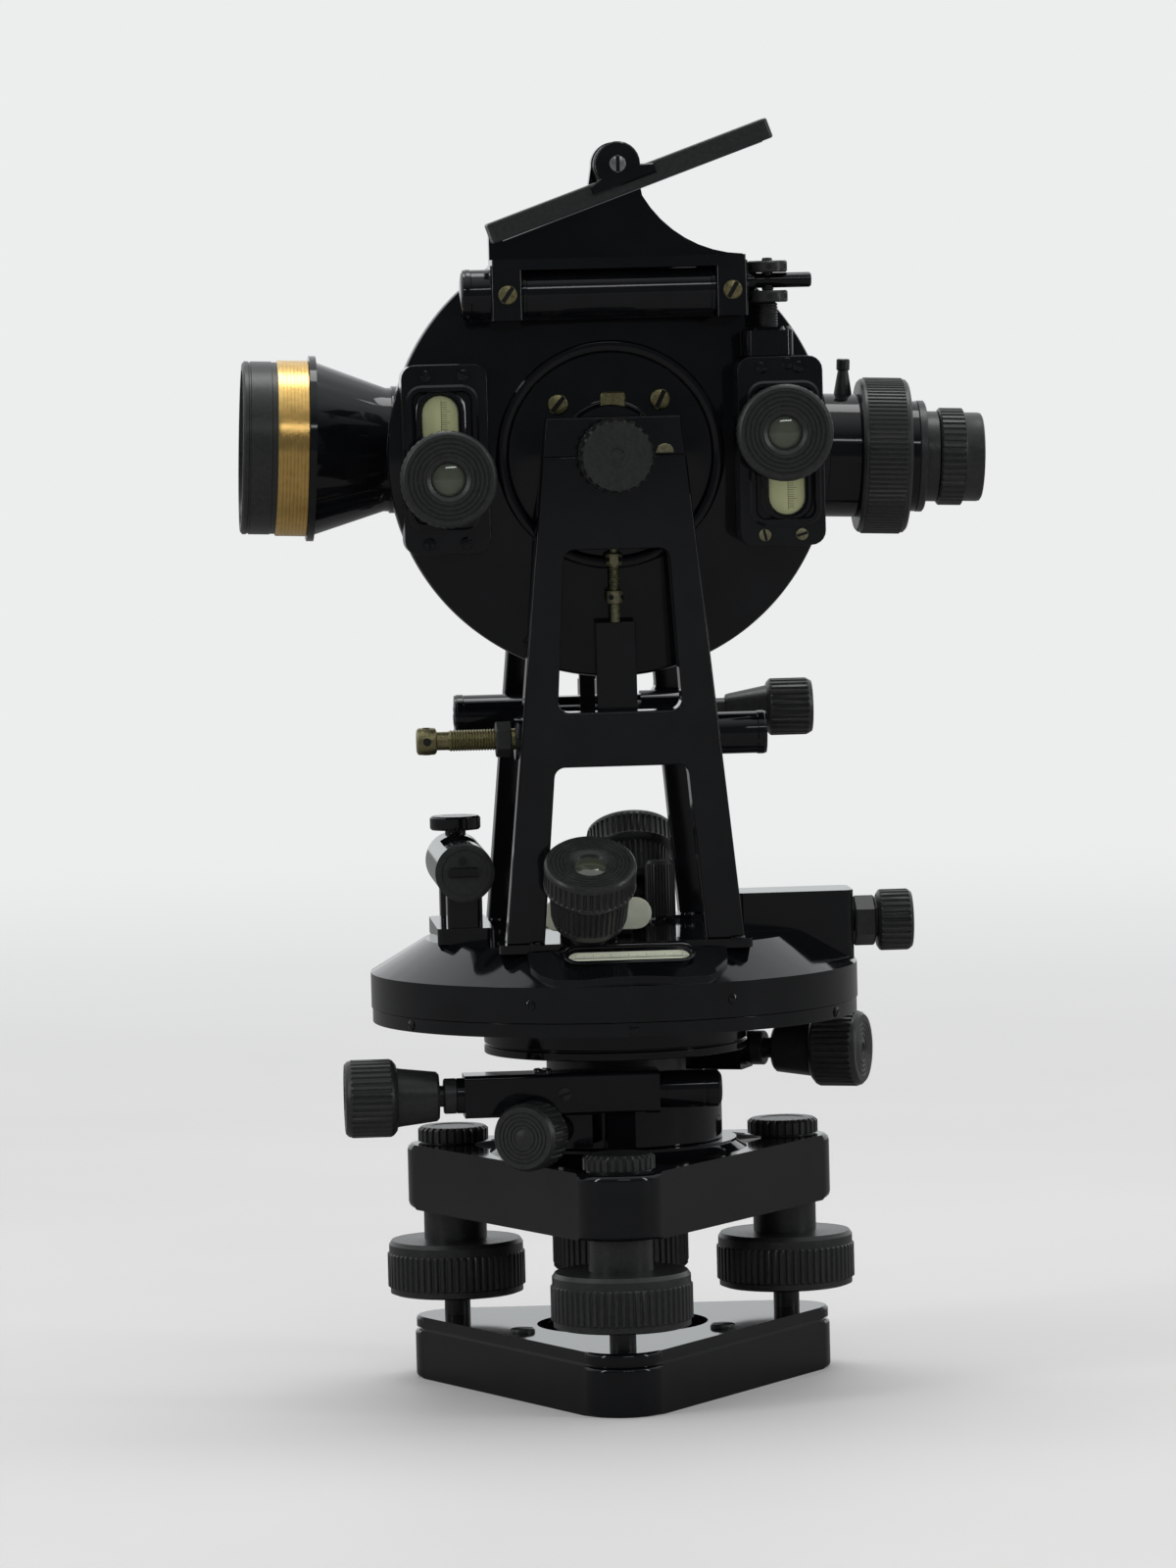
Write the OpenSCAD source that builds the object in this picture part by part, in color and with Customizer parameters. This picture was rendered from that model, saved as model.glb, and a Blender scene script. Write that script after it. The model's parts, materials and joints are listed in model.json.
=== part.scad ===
// Transit theodolite with a three-screw levelling head.
// Millimetres. +Z is up, +X is the eyepiece end, -Y is the side with the microscopes.
// The origin is on the vertical axis, at the underside of the base plate.

/* [Base plate] */
// Distance from the vertical axis to each foot screw
foot_reach = 55.3; // [50:0.1:60]
// Turn of the whole levelling head about the vertical axis, in degrees
head_turn = -4.3; // [-30:0.1:30]
// Corner radius of the base plate
base_corner_r = 12.4; // [11:0.1:14]
// Thickness of the base plate
base_h = 14; // [12:0.1:20]
// Radius of the tripod thread in the base plate
tripod_bore_r = 24.6; // [18:0.1:26]
// Height of the groove under the spring plate
groove_h = 0.8; // [0.5:0.1:2]
// Depth of the groove under the spring plate
groove_depth = 1.5; // [0.5:0.1:3]
// Thickness of the spring plate
spring_plate_h = 3.2; // [2:0.1:5]
// Radius of the ball at the foot of each screw
ball_r = 5; // [4.4:0.1:6]
// Distance from the vertical axis to the screws that hold the spring plate
base_screw_reach = 33; // [30:0.1:34]
// Radius of the screws that hold the spring plate
base_screw_r = 2; // [1.5:0.1:2.5]

/* [Foot screws] */
// Radius of the ribbed wheel
wheel_r = 20; // [16:0.1:22]
// Height of the ribbed wheel
wheel_h = 15.8; // [10:0.1:18]
// Gap between the spring plate and the wheel
wheel_gap = 6.2; // [4:0.1:9]
// Radius of the neck above the wheel
neck_r = 9.1; // [8:0.1:10]
// Visible length of the neck
neck_h = 9.4; // [7:0.1:12]
// Radius of the threaded spindle
spindle_r = 6; // [5:0.1:7]
// Radius of the thin pivot above the ball
pivot_r = 3.75; // [3:0.05:4]
// Lift of the head to each side of the middle
lift_travel = 2.5; // [1:0.1:3]

/* [Tribrach] */
// Height of the tribrach casting
tribrach_h = 18.9; // [16:0.1:24]
// Corner radius of the tribrach
tribrach_corner_r = 13.4; // [12.5:0.1:15]
// Radius of the dust caps over the foot screws
foot_cap_r = 10.2; // [9:0.1:12]
// Height of the dust caps
foot_cap_h = 4.7; // [3:0.1:7]
// Radius of the ribbed centre nut
centre_nut_r = 19.5; // [17:0.1:22]
// Height of the ribbed centre nut
centre_nut_h = 15; // [10:0.1:18]
// Radius of the hub under the tribrach
lower_hub_r = 14; // [12.5:0.1:15]
// Radius of the boss on top of the tribrach
top_boss_r = 34; // [30:0.1:36]
// Height of the boss on top of the tribrach
top_boss_h = 2.8; // [2:0.1:4]

/* [Vertical axis] */
// Radius of the inner axis
inner_axis_r = 5; // [4:0.1:5.5]
// Radius of the outer axis
outer_axis_r = 8.5; // [7.5:0.1:9]
// Radius of the bearing bush
bush_r = 11; // [10:0.1:11.5]
// Radius of the hub that the lower clamp ring grips
clamp_hub_r = 20; // [17:0.1:22]
// Radius of the inner axis's flange under the plate cover
axis_flange_r = 20; // [16:0.1:26]
// Thickness of that flange
axis_flange_h = 4; // [3:0.1:5]

/* [Clamps and tangent screws] */
// Radius of the lower clamp ring
lower_ring_r = 30; // [27:0.1:31]
// Height of the lower clamp ring
lower_ring_h = 11; // [9:0.1:12]
// Height of the hub above the clamp ring, under the drum
hub_rise = 14.4; // [13:0.1:16]
// Distance from the vertical axis to the lower tangent screw
lower_tangent_reach = 36; // [35.5:0.1:38]
// Sideways place of the lug that the lower tangent screw moves against
lower_lug_x = -2; // [-4:0.1:0]
// Distance from the vertical axis to the lower clamp screw
clamp_reach = 47; // [46.5:0.1:50]
// Direction of the lower clamp screw from the vertical axis, in degrees
clamp_turn = 68; // [60:1:75]
// Direction of the lock screw from the vertical axis, in degrees
lock_turn = 242; // [240:1:246]
// Radius of the ribbed tangent knobs
tangent_knob_r = 11; // [9:0.1:11.3]
// Length of the ribbed tangent knobs
tangent_knob_len = 14.5; // [10:0.1:18]
// Width of the tangent block
tangent_block_w = 13; // [11.5:0.1:13.5]
// Height of the tangent block
tangent_block_h = 12; // [11:0.1:12.5]
// Radius of the tangent screw's spindle
tangent_spindle_r = 3; // [2.5:0.05:3.2]
// Radius of the far tangent screw's knob
side_knob_r = 8.3; // [7:0.1:9]
// Length of the far tangent screw's knob
side_knob_len = 13; // [10:0.1:16]
// Radius of the lock screw's knob
lock_knob_r = 9.6; // [8:0.1:10]
// Length of the lock screw's knob
lock_knob_len = 11; // [9:0.1:13]
// Distance from the lower clamp ring to the lock screw's knob
lock_knob_at = 25; // [22:0.1:27]
// Turn of each tangent motion to either side, in degrees
tangent_swing = 2; // [1:0.1:2]

/* [Horizontal circle] */
// Radius of the drum under the plate
drum_r = 37.7; // [35:0.1:38]
// Height of the drum
drum_h = 10; // [8:0.1:12]
// Width of the verniers round the graduated circle
vernier_w = 2.9; // [2:0.1:6]
// Length of each vernier
vernier_len = 30; // [24:0.5:40]
// Thickness of the graduated circle
circle_h = 2.5; // [2:0.1:3]
// Outer radius of the plate cover
cover_r = 69.7; // [69:0.1:72]
// Height of the plate cover's upright rim
cover_rim_h = 10; // [9:0.1:12]
// Height of the sloping part of the cover
cover_slope_h = 9.3; // [8:0.1:11]
// Width of the sloping part of the cover
cover_slope_w = 15.7; // [13:0.1:17]
// Distance from the cover's edge to the middle of each vernier window
window_inset = 11.7; // [11:0.1:12.5]
// Length of each vernier window
window_len = 34; // [26:0.1:36]
// Width of each vernier window
window_w = 6; // [5:0.1:6.5]
// Height of the raised pad round each vernier window
window_pad_h = 1.5; // [0.8:0.1:2]
// Wall of the plate cover
cover_wall = 3; // [2.5:0.1:3.5]
// Thickness of the ring that closes the cover below
bottom_ring_h = 3.9; // [3:0.1:4.5]

/* [Standards] */
// Distance from the centre to the middle of each standard
standard_y = 44; // [43.5:0.1:46]
// Thickness of each standard
standard_t = 9; // [8:0.1:9.5]
// Half width of a standard at its foot
foot_half_w = 33.6; // [31:0.1:35]
// Half width of a standard at the trunnion
top_half_w = 20.2; // [19:0.1:22]
// Width of each leg at its foot
leg_w = 10; // [8:0.1:11]
// Width of each leg beside the window's foot
leg_mid_w = 9.7; // [8:0.1:11]
// Width of each leg beside the window's top
leg_top_w = 8; // [7:0.1:9]
// Height of the trunnion above the flat top of the plate cover
trunnion_rise = 137.7; // [134:0.1:145]
// Height of the bearing cap above the trunnion
bearing_cap_h = 10.7; // [10.5:0.1:14]
// Height of the crossbar
crossbar_h = 15.4; // [13:0.1:17]
// Height of the window above the crossbar
window_h = 45.4; // [40:0.1:46]
// Height of the far tangent screw above the crossbar's middle
tangent_rise = 3.3; // [2:0.1:4]
// Radius of the trunnions
trunnion_r = 8; // [6:0.1:8.5]

/* [Telescope] */
// Tilt of the telescope as set, objective end up, in degrees
sight_tilt = 2.2; // [0:0.1:5]
// Outer radius of the telescope tube
tube_r = 17.6; // [16:0.1:18.2]
// Wall of the telescope tube
tube_wall = 2.6; // [2:0.1:3]
// Distance from the trunnion to the front of the hood
hood_end = 102.8; // [100:0.1:106]
// Outer radius of the hood
hood_r = 24.6; // [22:0.1:25.5]
// Radius of the flange behind the brass band
flange_r = 26.4; // [25.6:0.1:26.8]
// Distance from the trunnion to the flange
flange_at = 84; // [82:0.1:86]
// Width of the brass band
band_w = 9; // [7:0.1:11]
// Distance from the trunnion to the small end of the cone
cone_end = 62; // [62:0.1:68]
// Distance from the trunnion to the focusing ring
focus_at = 72; // [70:0.1:76]
// Length of the focusing ring
focus_len = 15; // [12:0.1:18]
// Outer radius of the focusing ring
focus_r = 22.3; // [19:0.1:23]
// Radius of the eyepiece tube
eyepiece_r = 12.9; // [12.5:0.1:14]
// Distance from the trunnion to the end of the eyepiece
eyepiece_end = 109; // [107:0.1:114]
// Travel of the focusing lens to each side
focus_travel = 8; // [4:0.5:9]

/* [Index frame] */
// Radius of the cover of the vertical circle
index_cover_r = 62.5; // [60:0.1:62.5]
// Thickness of the cover of the vertical circle
index_cover_t = 10; // [9.5:0.1:10.5]
// Distance from the centre to the front of that cover
index_front_y = 34; // [33.8:0.1:34.5]
// Radius of the graduated vertical circle
vertical_circle_r = 56; // [50:0.1:57]
// Distance from the trunnion to each microscope
microscope_x = 47; // [44:0.1:50]
// Width of each microscope housing
housing_w = 24; // [20:0.1:26]
// Height of each microscope housing
housing_h = 53; // [46:0.1:54]
// Depth of each microscope housing
housing_t = 14; // [10:0.1:16]
// Radius of the microscope eyepieces
microscope_r = 13.6; // [11:0.1:14]
// Length of the microscope eyepieces
microscope_len = 13; // [9:0.1:18]
// Height of each eyepiece above or below its housing's middle
microscope_offset = 5.3; // [4:0.1:8]
// Height of each window's middle on the other side of its housing's middle
window_offset = 10.3; // [10:0.1:13]
// Width of each window in a housing
housing_window_w = 10; // [8:0.1:11]
// Height of each window in a housing
housing_window_h = 15; // [12:0.1:16]
// Sideways place of each window, outwards from its housing's middle
window_out = 1.3; // [0:0.1:2]

/* [Altitude level and mirror] */
// Height of the level above the trunnion
level_rise = 45.4; // [45:0.1:47]
// Length of the level case
level_len = 72; // [66:0.1:76]
// Radius of the level tube
level_r = 7.2; // [6.6:0.1:7.5]
// Length of the closed end beyond the level's left collar
level_end_len = 7.5; // [5:0.5:9]
// Distance from the centre to the level
level_y = 43; // [42.5:0.1:43.5]
// Height of the mirror's pivot above the level
mirror_rise = 35.6; // [34:0.1:40]
// Length of the mirror
mirror_len = 83.5; // [78:0.1:88]
// Distance from under the pivot to the mirror's middle
mirror_shift = 1.7; // [0:0.1:3]
// Width of the mirror
mirror_w = 14; // [10:0.1:15]
// Thickness of the mirror frame
mirror_t = 5.8; // [3.5:0.1:6]
// Tilt of the mirror as set, in degrees
mirror_tilt = 19.5; // [0:0.5:21]

/* [Plate parts] */
// Distance from the cover's edge to the middle of the plate level
plate_level_inset = 26.2; // [24.7:0.1:26.7]
// Length of the plate level
plate_level_len = 52; // [44:0.1:54]
// Radius of the plate level tube
plate_level_r = 8.4; // [7.5:0.1:8.8]
// Height of the plate level above the cover's flat top
plate_level_lift = 12; // [10:0.1:14]
// Sideways place of each plate magnifier
magnifier_x = 10.5; // [9:0.1:11]
// Distance from the cover's edge to each magnifier's foot
magnifier_inset = 23.7; // [22.7:0.1:24.7]
// Slope of the magnifiers above the horizontal, in degrees
magnifier_slope = 57; // [55:1:62]
// Radius of the magnifier's face
magnifier_r = 13; // [10:0.1:13.5]
// Radius of the magnifier's stem
magnifier_stem_r = 5.5; // [4.5:0.1:6]
// Length of the magnifier
magnifier_len = 29.8; // [26:0.1:32]
// Width of the clamp housing on the plate
housing_plate_w = 20; // [18:0.1:24]
// Height of the clamp housing above the flat top of the cover
housing_plate_h = 11; // [10:0.1:14]
// Radius of the upper clamp knob
upper_knob_r = 8.8; // [7.5:0.1:9.5]
// Length of the upper clamp knob
upper_knob_len = 10; // [8:0.1:12]

// Radius of the clip screw's head
clip_head_r = 3.8; // [3.2:0.1:4.5]
// Distance from the standard's boss to the clip screw's head
clip_head_at = 22; // [16:0.1:26]
/* [Hidden] */
$fn = 64;
eps = 0.01;
// Radial clearance of a running fit, and the side clearance of a fixed one
run_gap = 0.05;
seat_gap = 0.02;
// Space left between pieces that pass each other
pass_gap = 0.3;

// Heights up the vertical axis
spring_plate_z = base_h + groove_h;
spring_top_z = spring_plate_z + spring_plate_h;
ball_z = base_h - 2;
wheel_z = spring_top_z + wheel_gap;
wheel_top_z = wheel_z + wheel_h;
tribrach_z = wheel_top_z + neck_h;
tribrach_top_z = tribrach_z + tribrach_h;
neck_entry = lift_travel + 1;
neck_pocket = neck_entry + lift_travel + 1;
hub_bottom_z = tribrach_z - centre_nut_h - 2;
boss_top_z = tribrach_top_z + top_boss_h;
lower_ring_z = boss_top_z + pass_gap;
lower_tangent_z = lower_ring_z + lower_ring_h + tangent_block_h / 2 + 0.2;
clamp_z = lower_tangent_z + 4.1;
lock_z = lower_ring_z + lower_ring_h - 4;
drum_z = lower_ring_z + lower_ring_h + hub_rise + pass_gap;
bottom_ring_z = drum_z + drum_h - 0.2;
cover_z = bottom_ring_z + bottom_ring_h + 0.2;
circle_z = cover_z + 1.2;
circle_r = cover_r - cover_wall - vernier_w - pass_gap;
cover_top_r = cover_r - cover_slope_w;
window_y = cover_r - window_inset;
magnifier_y = cover_r - magnifier_inset;
upper_clamp_x = cover_r - 1.1;
plate_level_x = cover_r - plate_level_inset;
slope_z = cover_z + cover_rim_h;
slope_fall = cover_slope_h / cover_slope_w;
plate_top_z = slope_z + cover_slope_h;
ceiling_z = plate_top_z - cover_wall;
standard_foot_z = plate_top_z + 1.5;
trunnion_z = plate_top_z + trunnion_rise;
crossbar_z = trunnion_z - window_h - crossbar_h - 26.2;
crossbar_top_z = crossbar_z + crossbar_h;
crossbar_mid_z = crossbar_z + crossbar_h / 2;
level_z = trunnion_z + level_rise;

// Standards
leg_slope = (foot_half_w - top_half_w) / (trunnion_z - plate_top_z);
cap_screw_x = top_half_w - 5.6;
standard_in_y = standard_y - standard_t / 2;
standard_out_y = standard_y + standard_t / 2;
function half_w(z) = top_half_w + leg_slope * (trunnion_z - z);
clip_y = standard_in_y - 5.5;
clip_boss_r = 5.9;
// Ends of the bosses beside each crossbar, measured from the middle of the standard
boss_start = 12;
boss_end = 29;
spring_end = 42;
// The legs of the two tangent arms
leg_half_w = 5.7;
leg_t = 8;
leg_bottom_z = crossbar_mid_z - 7;
index_arm_z = trunnion_z - index_cover_r + 15.5;

// End of the telescope tube behind the focusing ring
tube_end = focus_at + focus_len + 3;
// Vertical clamp ring on the trunnion
vertical_ring_y = 24;
vertical_ring_r = 15;
vertical_ring_t = 9;
clamp_web_t = 4;
// Index frame
index_back_y = index_front_y - index_cover_t;
index_wall = 2;
back_plate_t = 1.6;
raised_ring_r = 31.6;
lug_hole_gap = 0.9;
// Sizes that several pieces share
small_screw_r = 3;
screw_neck_len = 12;
lock_depth = 8;
upper_knob_at = 7.4;
cap_screw_r = 1.6;
cap_head_r = 3;
cap_screw_depth = 8;
microscope_stem_r = 7;
level_cap = 3;
level_wall = 1.6;
plate_level_wall = 2;
collar_w = 9;
bracket_t = 5;
mirror_pin_r = 2.5;
mirror_ear_r = 6;
mirror_ear_t = 5;
plunger_r = 2.2;
plunger_gap = 1.1;
// Web of each lug between the screw's hole and the plunger, and where each screw ends
lug_web = 1.7;
screw_tip = 0.6;
// Ends of the lower clamp's two blocks, and the end of the spring box
lower_block_low = -11;
lower_block_high = 44;
spring_box_end = -28;
clamp_block_low = -12;
clamp_block_high = 25;
// The tribrach's lug, its top and the pocket round it
lug_w = 8;
lug_top_z = lower_tangent_z + tangent_spindle_r + lug_hole_gap + 0.8;
tangent_pocket = lug_w / 2 + lower_tangent_reach * sin(tangent_swing) + 1.7;

// Outlines
function unit(v) = v / norm(v);
function corner_arc(a, b, c, r, n) =
    let (u = unit(a - b), v = unit(c - b), half = acos(u * v) / 2)
    let (centre = b + unit(u + v) * r / sin(half))
    let (p = b + u * r / tan(half) - centre, q = b + v * r / tan(half) - centre)
    let (start = atan2(p.y, p.x), turn = (atan2(q.y, q.x) - start + 540) % 360 - 180)
    [for (i = [0:n]) centre + r * [cos(start + turn * i / n), sin(start + turn * i / n)]];
function rounded(points, r, n = 5) =
    let (k = len(points))
    [for (i = [0:k - 1]) each corner_arc(points[(i + k - 1) % k], points[i], points[(i + 1) % k], r, n)];
function rect(w, h) = [[-w / 2, -h / 2], [w / 2, -h / 2], [w / 2, h / 2], [-w / 2, h / 2]];

// Directions: a child drawn along +Z comes to lie along the named axis
module along_x() {
    rotate([0, 90, 0]) children();
}
module along_minus_y() {
    rotate([90, 0, 0]) children();
}
module on_trunnion() {
    translate([0, 0, trunnion_z]) children();
}
module on_sight_line() {
    on_trunnion() rotate([0, sight_tilt, 0]) along_x() children();
}
module at_foot(i) {
    rotate([0, 0, head_turn - 90 + 120 * i]) translate([foot_reach, 0, 0]) children();
}
module at_lower_tangent() {
    rotate([0, 0, -90]) translate([lower_tangent_reach, lower_lug_x, lower_tangent_z])
        rotate([90, 0, 0]) children();
}
module at_clamp_screw() {
    rotate([0, 0, clamp_turn]) translate([clamp_reach, 0, clamp_z]) rotate([90, 0, 0]) children();
}
module at_lock_screw() {
    rotate([0, 0, lock_turn]) translate([lower_ring_r, 0, lock_z]) rotate([0, 90, 0]) children();
}
// On the cover's slope in the middle of a vernier window, with Z square to the slope
module at_window(side) {
    translate([0, side * window_y, slope_z + (cover_r - window_y) * slope_fall])
        rotate([-side * atan(slope_fall), 0, 0]) children();
}
module window_slot(gap) {
    polygon(rounded(rect(window_len - 2 * gap, window_w - 2 * gap), window_w / 2 - 0.1 - gap));
}
module at_magnifier(side) {
    translate([side * magnifier_x, side * magnifier_y, plate_top_z])
        rotate([-side * (90 - magnifier_slope), 0, 0]) children();
}

// Simple shapes
module ring(r, bore, h) {
    difference() {
        cylinder(r = r, h = h);
        translate([0, 0, -1]) cylinder(r = bore, h = h + 2);
    }
}
module knob(r, h, edge = 1) {
    rotate_extrude() polygon([[0, 0], [r - edge, 0], [r, edge], [r, h - edge], [r - edge, h], [0, h]]);
}
module block(w, d, h, r = 1.2) {
    linear_extrude(h) polygon(rounded(rect(w, d), r));
}
// The sides lie a little inside the corner circles, so that they cross and don't just touch
module head_outline(reach, corner) {
    side_r = corner - 0.05;
    for (i = [0:2]) rotate(head_turn - 90 + 120 * i) translate([reach, 0]) circle(r = corner);
    polygon([for (i = [0:2]) for (side = [-60, 60])
        let (a = head_turn - 90 + 120 * i)
        reach * [cos(a), sin(a)] + side_r * [cos(a + side), sin(a + side)]]);
}

// Base
module base_plate() {
    color([0.04, 0.045, 0.05]) difference() {
        union() {
            linear_extrude(base_h) head_outline(foot_reach, base_corner_r);
            linear_extrude(spring_plate_z) head_outline(foot_reach, base_corner_r - groove_depth);
        }
        translate([0, 0, -1]) cylinder(r = tripod_bore_r, h = spring_plate_z + 2);
        for (i = [0:2]) at_foot(i) translate([0, 0, ball_z - ball_r]) cylinder(r = ball_r + run_gap, h = 40);
        for (i = [0:2]) rotate([0, 0, 60]) at_foot(i) translate([-foot_reach + base_screw_reach, 0, base_h - 6])
            cylinder(r = base_screw_r + seat_gap, h = 40);
    }
}
module spring_plate() {
    color([0.05, 0.055, 0.06]) difference() {
        translate([0, 0, spring_plate_z]) linear_extrude(spring_plate_h)
            head_outline(foot_reach, base_corner_r - 0.4);
        cylinder(r = tripod_bore_r, h = 60);
        for (i = [0:2]) at_foot(i) {
            cylinder(r = pivot_r + run_gap, h = 60);
            translate([0, 0, ball_z]) sphere(r = ball_r + run_gap);
        }
        for (i = [0:2]) rotate([0, 0, 60]) at_foot(i) translate([-foot_reach + base_screw_reach, 0, 0])
            cylinder(r = base_screw_r + seat_gap, h = 60);
    }
}
module base_screws() {
    color([0.5, 0.42, 0.25]) for (i = [0:2]) rotate([0, 0, 60]) at_foot(i)
        translate([-foot_reach + base_screw_reach, 0, 0]) {
            translate([0, 0, base_h - 6]) cylinder(r = base_screw_r, h = spring_top_z - base_h + 6);
            translate([0, 0, spring_top_z]) cylinder(r = 1.8 * base_screw_r, h = 1.2);
        }
}

// Foot screws
module foot_screw(i) {
    top_z = tribrach_top_z - lift_travel - 0.8;
    color([0.06, 0.065, 0.07]) at_foot(i) {
        translate([0, 0, ball_z]) sphere(r = ball_r);
        rotate_extrude() polygon([[0, ball_z], [pivot_r, ball_z], [pivot_r, wheel_z], [wheel_r - 1.5, wheel_z],
            [wheel_r, wheel_z + 1.5], [wheel_r, wheel_top_z - 1.5], [wheel_r - 1.5, wheel_top_z],
            [neck_r, wheel_top_z], [neck_r, tribrach_z + neck_entry], [spindle_r, tribrach_z + neck_entry],
            [spindle_r, top_z], [0, top_z]]);
    }
}

// Tribrach
module tribrach() {
    color([0.04, 0.045, 0.05]) difference() {
        union() {
            translate([0, 0, tribrach_z]) linear_extrude(tribrach_h)
                head_outline(foot_reach, tribrach_corner_r);
            translate([0, 0, hub_bottom_z]) cylinder(r = lower_hub_r, h = tribrach_z - hub_bottom_z + 1);
            translate([0, 0, tribrach_z + 1]) cylinder(r = top_boss_r, h = boss_top_z - tribrach_z - 1);
            lower_lug();
        }
        translate([0, 0, hub_bottom_z - 1]) cylinder(r = bush_r + seat_gap, h = 60);
        for (i = [0:2]) at_foot(i) {
            cylinder(r = spindle_r + run_gap, h = 100);
            translate([0, 0, tribrach_z - 1]) cylinder(r = neck_r + pass_gap, h = neck_pocket + 1);
        }
    }
}
module lower_lug() {
    difference() {
        rotate([0, 0, -90])
            translate([lower_tangent_reach - 4.5, lower_lug_x - lug_w / 2, tribrach_top_z - 1])
                cube([9, lug_w, lug_top_z - tribrach_top_z + 1]);
        at_lower_tangent() translate([0, 0, -lug_web]) cylinder(r = tangent_spindle_r + lug_hole_gap, h = 20);
    }
    at_lower_tangent() translate([0, 0, spring_box_end + 7])
        cylinder(r = plunger_r, h = -spring_box_end - 7 - lug_web - 0.5);
}
module foot_caps() {
    color([0.06, 0.065, 0.07]) for (i = [0:2]) at_foot(i) translate([0, 0, tribrach_top_z])
        knob(foot_cap_r, foot_cap_h, 0.8);
}
module axis_bush() {
    color([0.6, 0.5, 0.3]) translate([0, 0, hub_bottom_z])
        ring(bush_r, outer_axis_r + run_gap, boss_top_z - hub_bottom_z);
}
module centre_nut() {
    color([0.06, 0.065, 0.07]) translate([0, 0, tribrach_z - centre_nut_h - pass_gap]) difference() {
        knob(centre_nut_r, centre_nut_h, 1);
        translate([0, 0, -1]) cylinder(r = lower_hub_r + run_gap, h = centre_nut_h + 2);
    }
}

// Tangent screws: drawn along +Z, which points at the knob; the lug stands at z = 0
module tangent_block(low, high) {
    translate([0, 0, low]) block(tangent_block_w, tangent_block_h, high - low);
    translate([0, 0, high - 1]) cylinder(r = 5, h = 3);
}
module tangent_screw(tip, neck_at) {
    knob_at = neck_at + screw_neck_len;
    knob_end = knob_at + tangent_knob_len;
    rotate_extrude() polygon([[0, tip], [tangent_spindle_r, tip], [tangent_spindle_r, neck_at],
        [tangent_knob_r - 4, neck_at], [tangent_knob_r - 2.6, knob_at], [tangent_knob_r - 1, knob_at],
        [tangent_knob_r, knob_at + 1],
        [tangent_knob_r, knob_end - 1], [tangent_knob_r - 1, knob_end], [0, knob_end]]);
}

// Lower clamp
module lower_clamp_arm() {
    web_top = lower_tangent_z + 3 - lower_ring_z;
    color([0.04, 0.045, 0.05]) difference() {
        union() {
            translate([0, 0, lower_ring_z]) cylinder(r = lower_ring_r, h = lower_ring_h);
            at_lower_tangent() tangent_block(lower_block_low, lower_block_high);
            at_lower_tangent() translate([0, 0, spring_box_end]) cylinder(r = 5.2, h = 22);
            rotate([0, 0, -90]) translate([20.5, -27.5, lower_ring_z + 1.5])
                cube([lower_tangent_reach - 18.5, 17.5, web_top - 1.5]);
            at_clamp_screw() tangent_block(clamp_block_low, clamp_block_high);
            rotate([0, 0, clamp_turn]) translate([22, -9, lower_ring_z + 2])
                cube([clamp_reach - 18, 18, clamp_z + 3 - lower_ring_z - 2]);
            at_lock_screw() translate([0, 0, -4]) cylinder(r = 4.4, h = 20);
        }
        translate([0, 0, lower_ring_z - 1]) cylinder(r = clamp_hub_r + run_gap, h = 60);
        at_lower_tangent() cylinder(r = tangent_spindle_r + run_gap, h = 100);
        at_lower_tangent() translate([0, 0, spring_box_end + 3])
            cylinder(r = plunger_r + plunger_gap, h = -spring_box_end);
        at_clamp_screw() translate([0, 0, -40]) cylinder(r = tangent_spindle_r + run_gap, h = 100);
        rotate([0, 0, -90])
            translate([lower_ring_r + 0.7, lower_lug_x - tangent_pocket, lower_ring_z - 1])
                cube([lower_tangent_reach + 5.5 - lower_ring_r, 2 * tangent_pocket,
                    lug_top_z + pass_gap - lower_ring_z + 1]);
        at_lock_screw() translate([0, 0, -20]) cylinder(r = small_screw_r + run_gap, h = 60);
    }
}
module lower_lock_screw() {
    color([0.06, 0.065, 0.07]) at_lock_screw() {
        translate([0, 0, -lock_depth]) cylinder(r = small_screw_r, h = lock_depth + lock_knob_at + 1);
        translate([0, 0, lock_knob_at]) knob(lock_knob_r, lock_knob_len, 1);
    }
}
module lower_clamp_screw() {
    color([0.06, 0.065, 0.07]) at_clamp_screw() tangent_screw(clamp_block_low + 2, clamp_block_high + 9);
}
module lower_tangent_screw() {
    color([0.06, 0.065, 0.07]) at_lower_tangent() tangent_screw(screw_tip, lower_block_high + 7);
}

// Limb
module outer_axis() {
    color([0.45, 0.45, 0.46]) difference() {
        union() {
            translate([0, 0, hub_bottom_z]) cylinder(r = outer_axis_r, h = drum_z - hub_bottom_z);
            translate([0, 0, lower_ring_z]) cylinder(r = clamp_hub_r, h = drum_z - lower_ring_z);
        }
        translate([0, 0, hub_bottom_z - 1]) cylinder(r = inner_axis_r + run_gap, h = 200);
    }
}
module limb_drum() {
    color([0.04, 0.045, 0.05]) difference() {
        union() {
            translate([0, 0, drum_z]) cylinder(r = drum_r, h = 2.3);
            translate([0, 0, drum_z + 2.3]) cylinder(r = drum_r - 0.8, h = 0.6);
            translate([0, 0, drum_z + 2.9]) cylinder(r = drum_r, h = drum_h - 2.9);
            translate([0, 0, drum_z]) cylinder(r = drum_r - 1.5, h = circle_z - drum_z);
        }
        translate([0, 0, drum_z - 1]) cylinder(r = inner_axis_r + run_gap, h = 60);
    }
}
module horizontal_circle() {
    color([0.75, 0.75, 0.73]) translate([0, 0, circle_z]) ring(circle_r, inner_axis_r + run_gap, circle_h);
}

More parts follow.
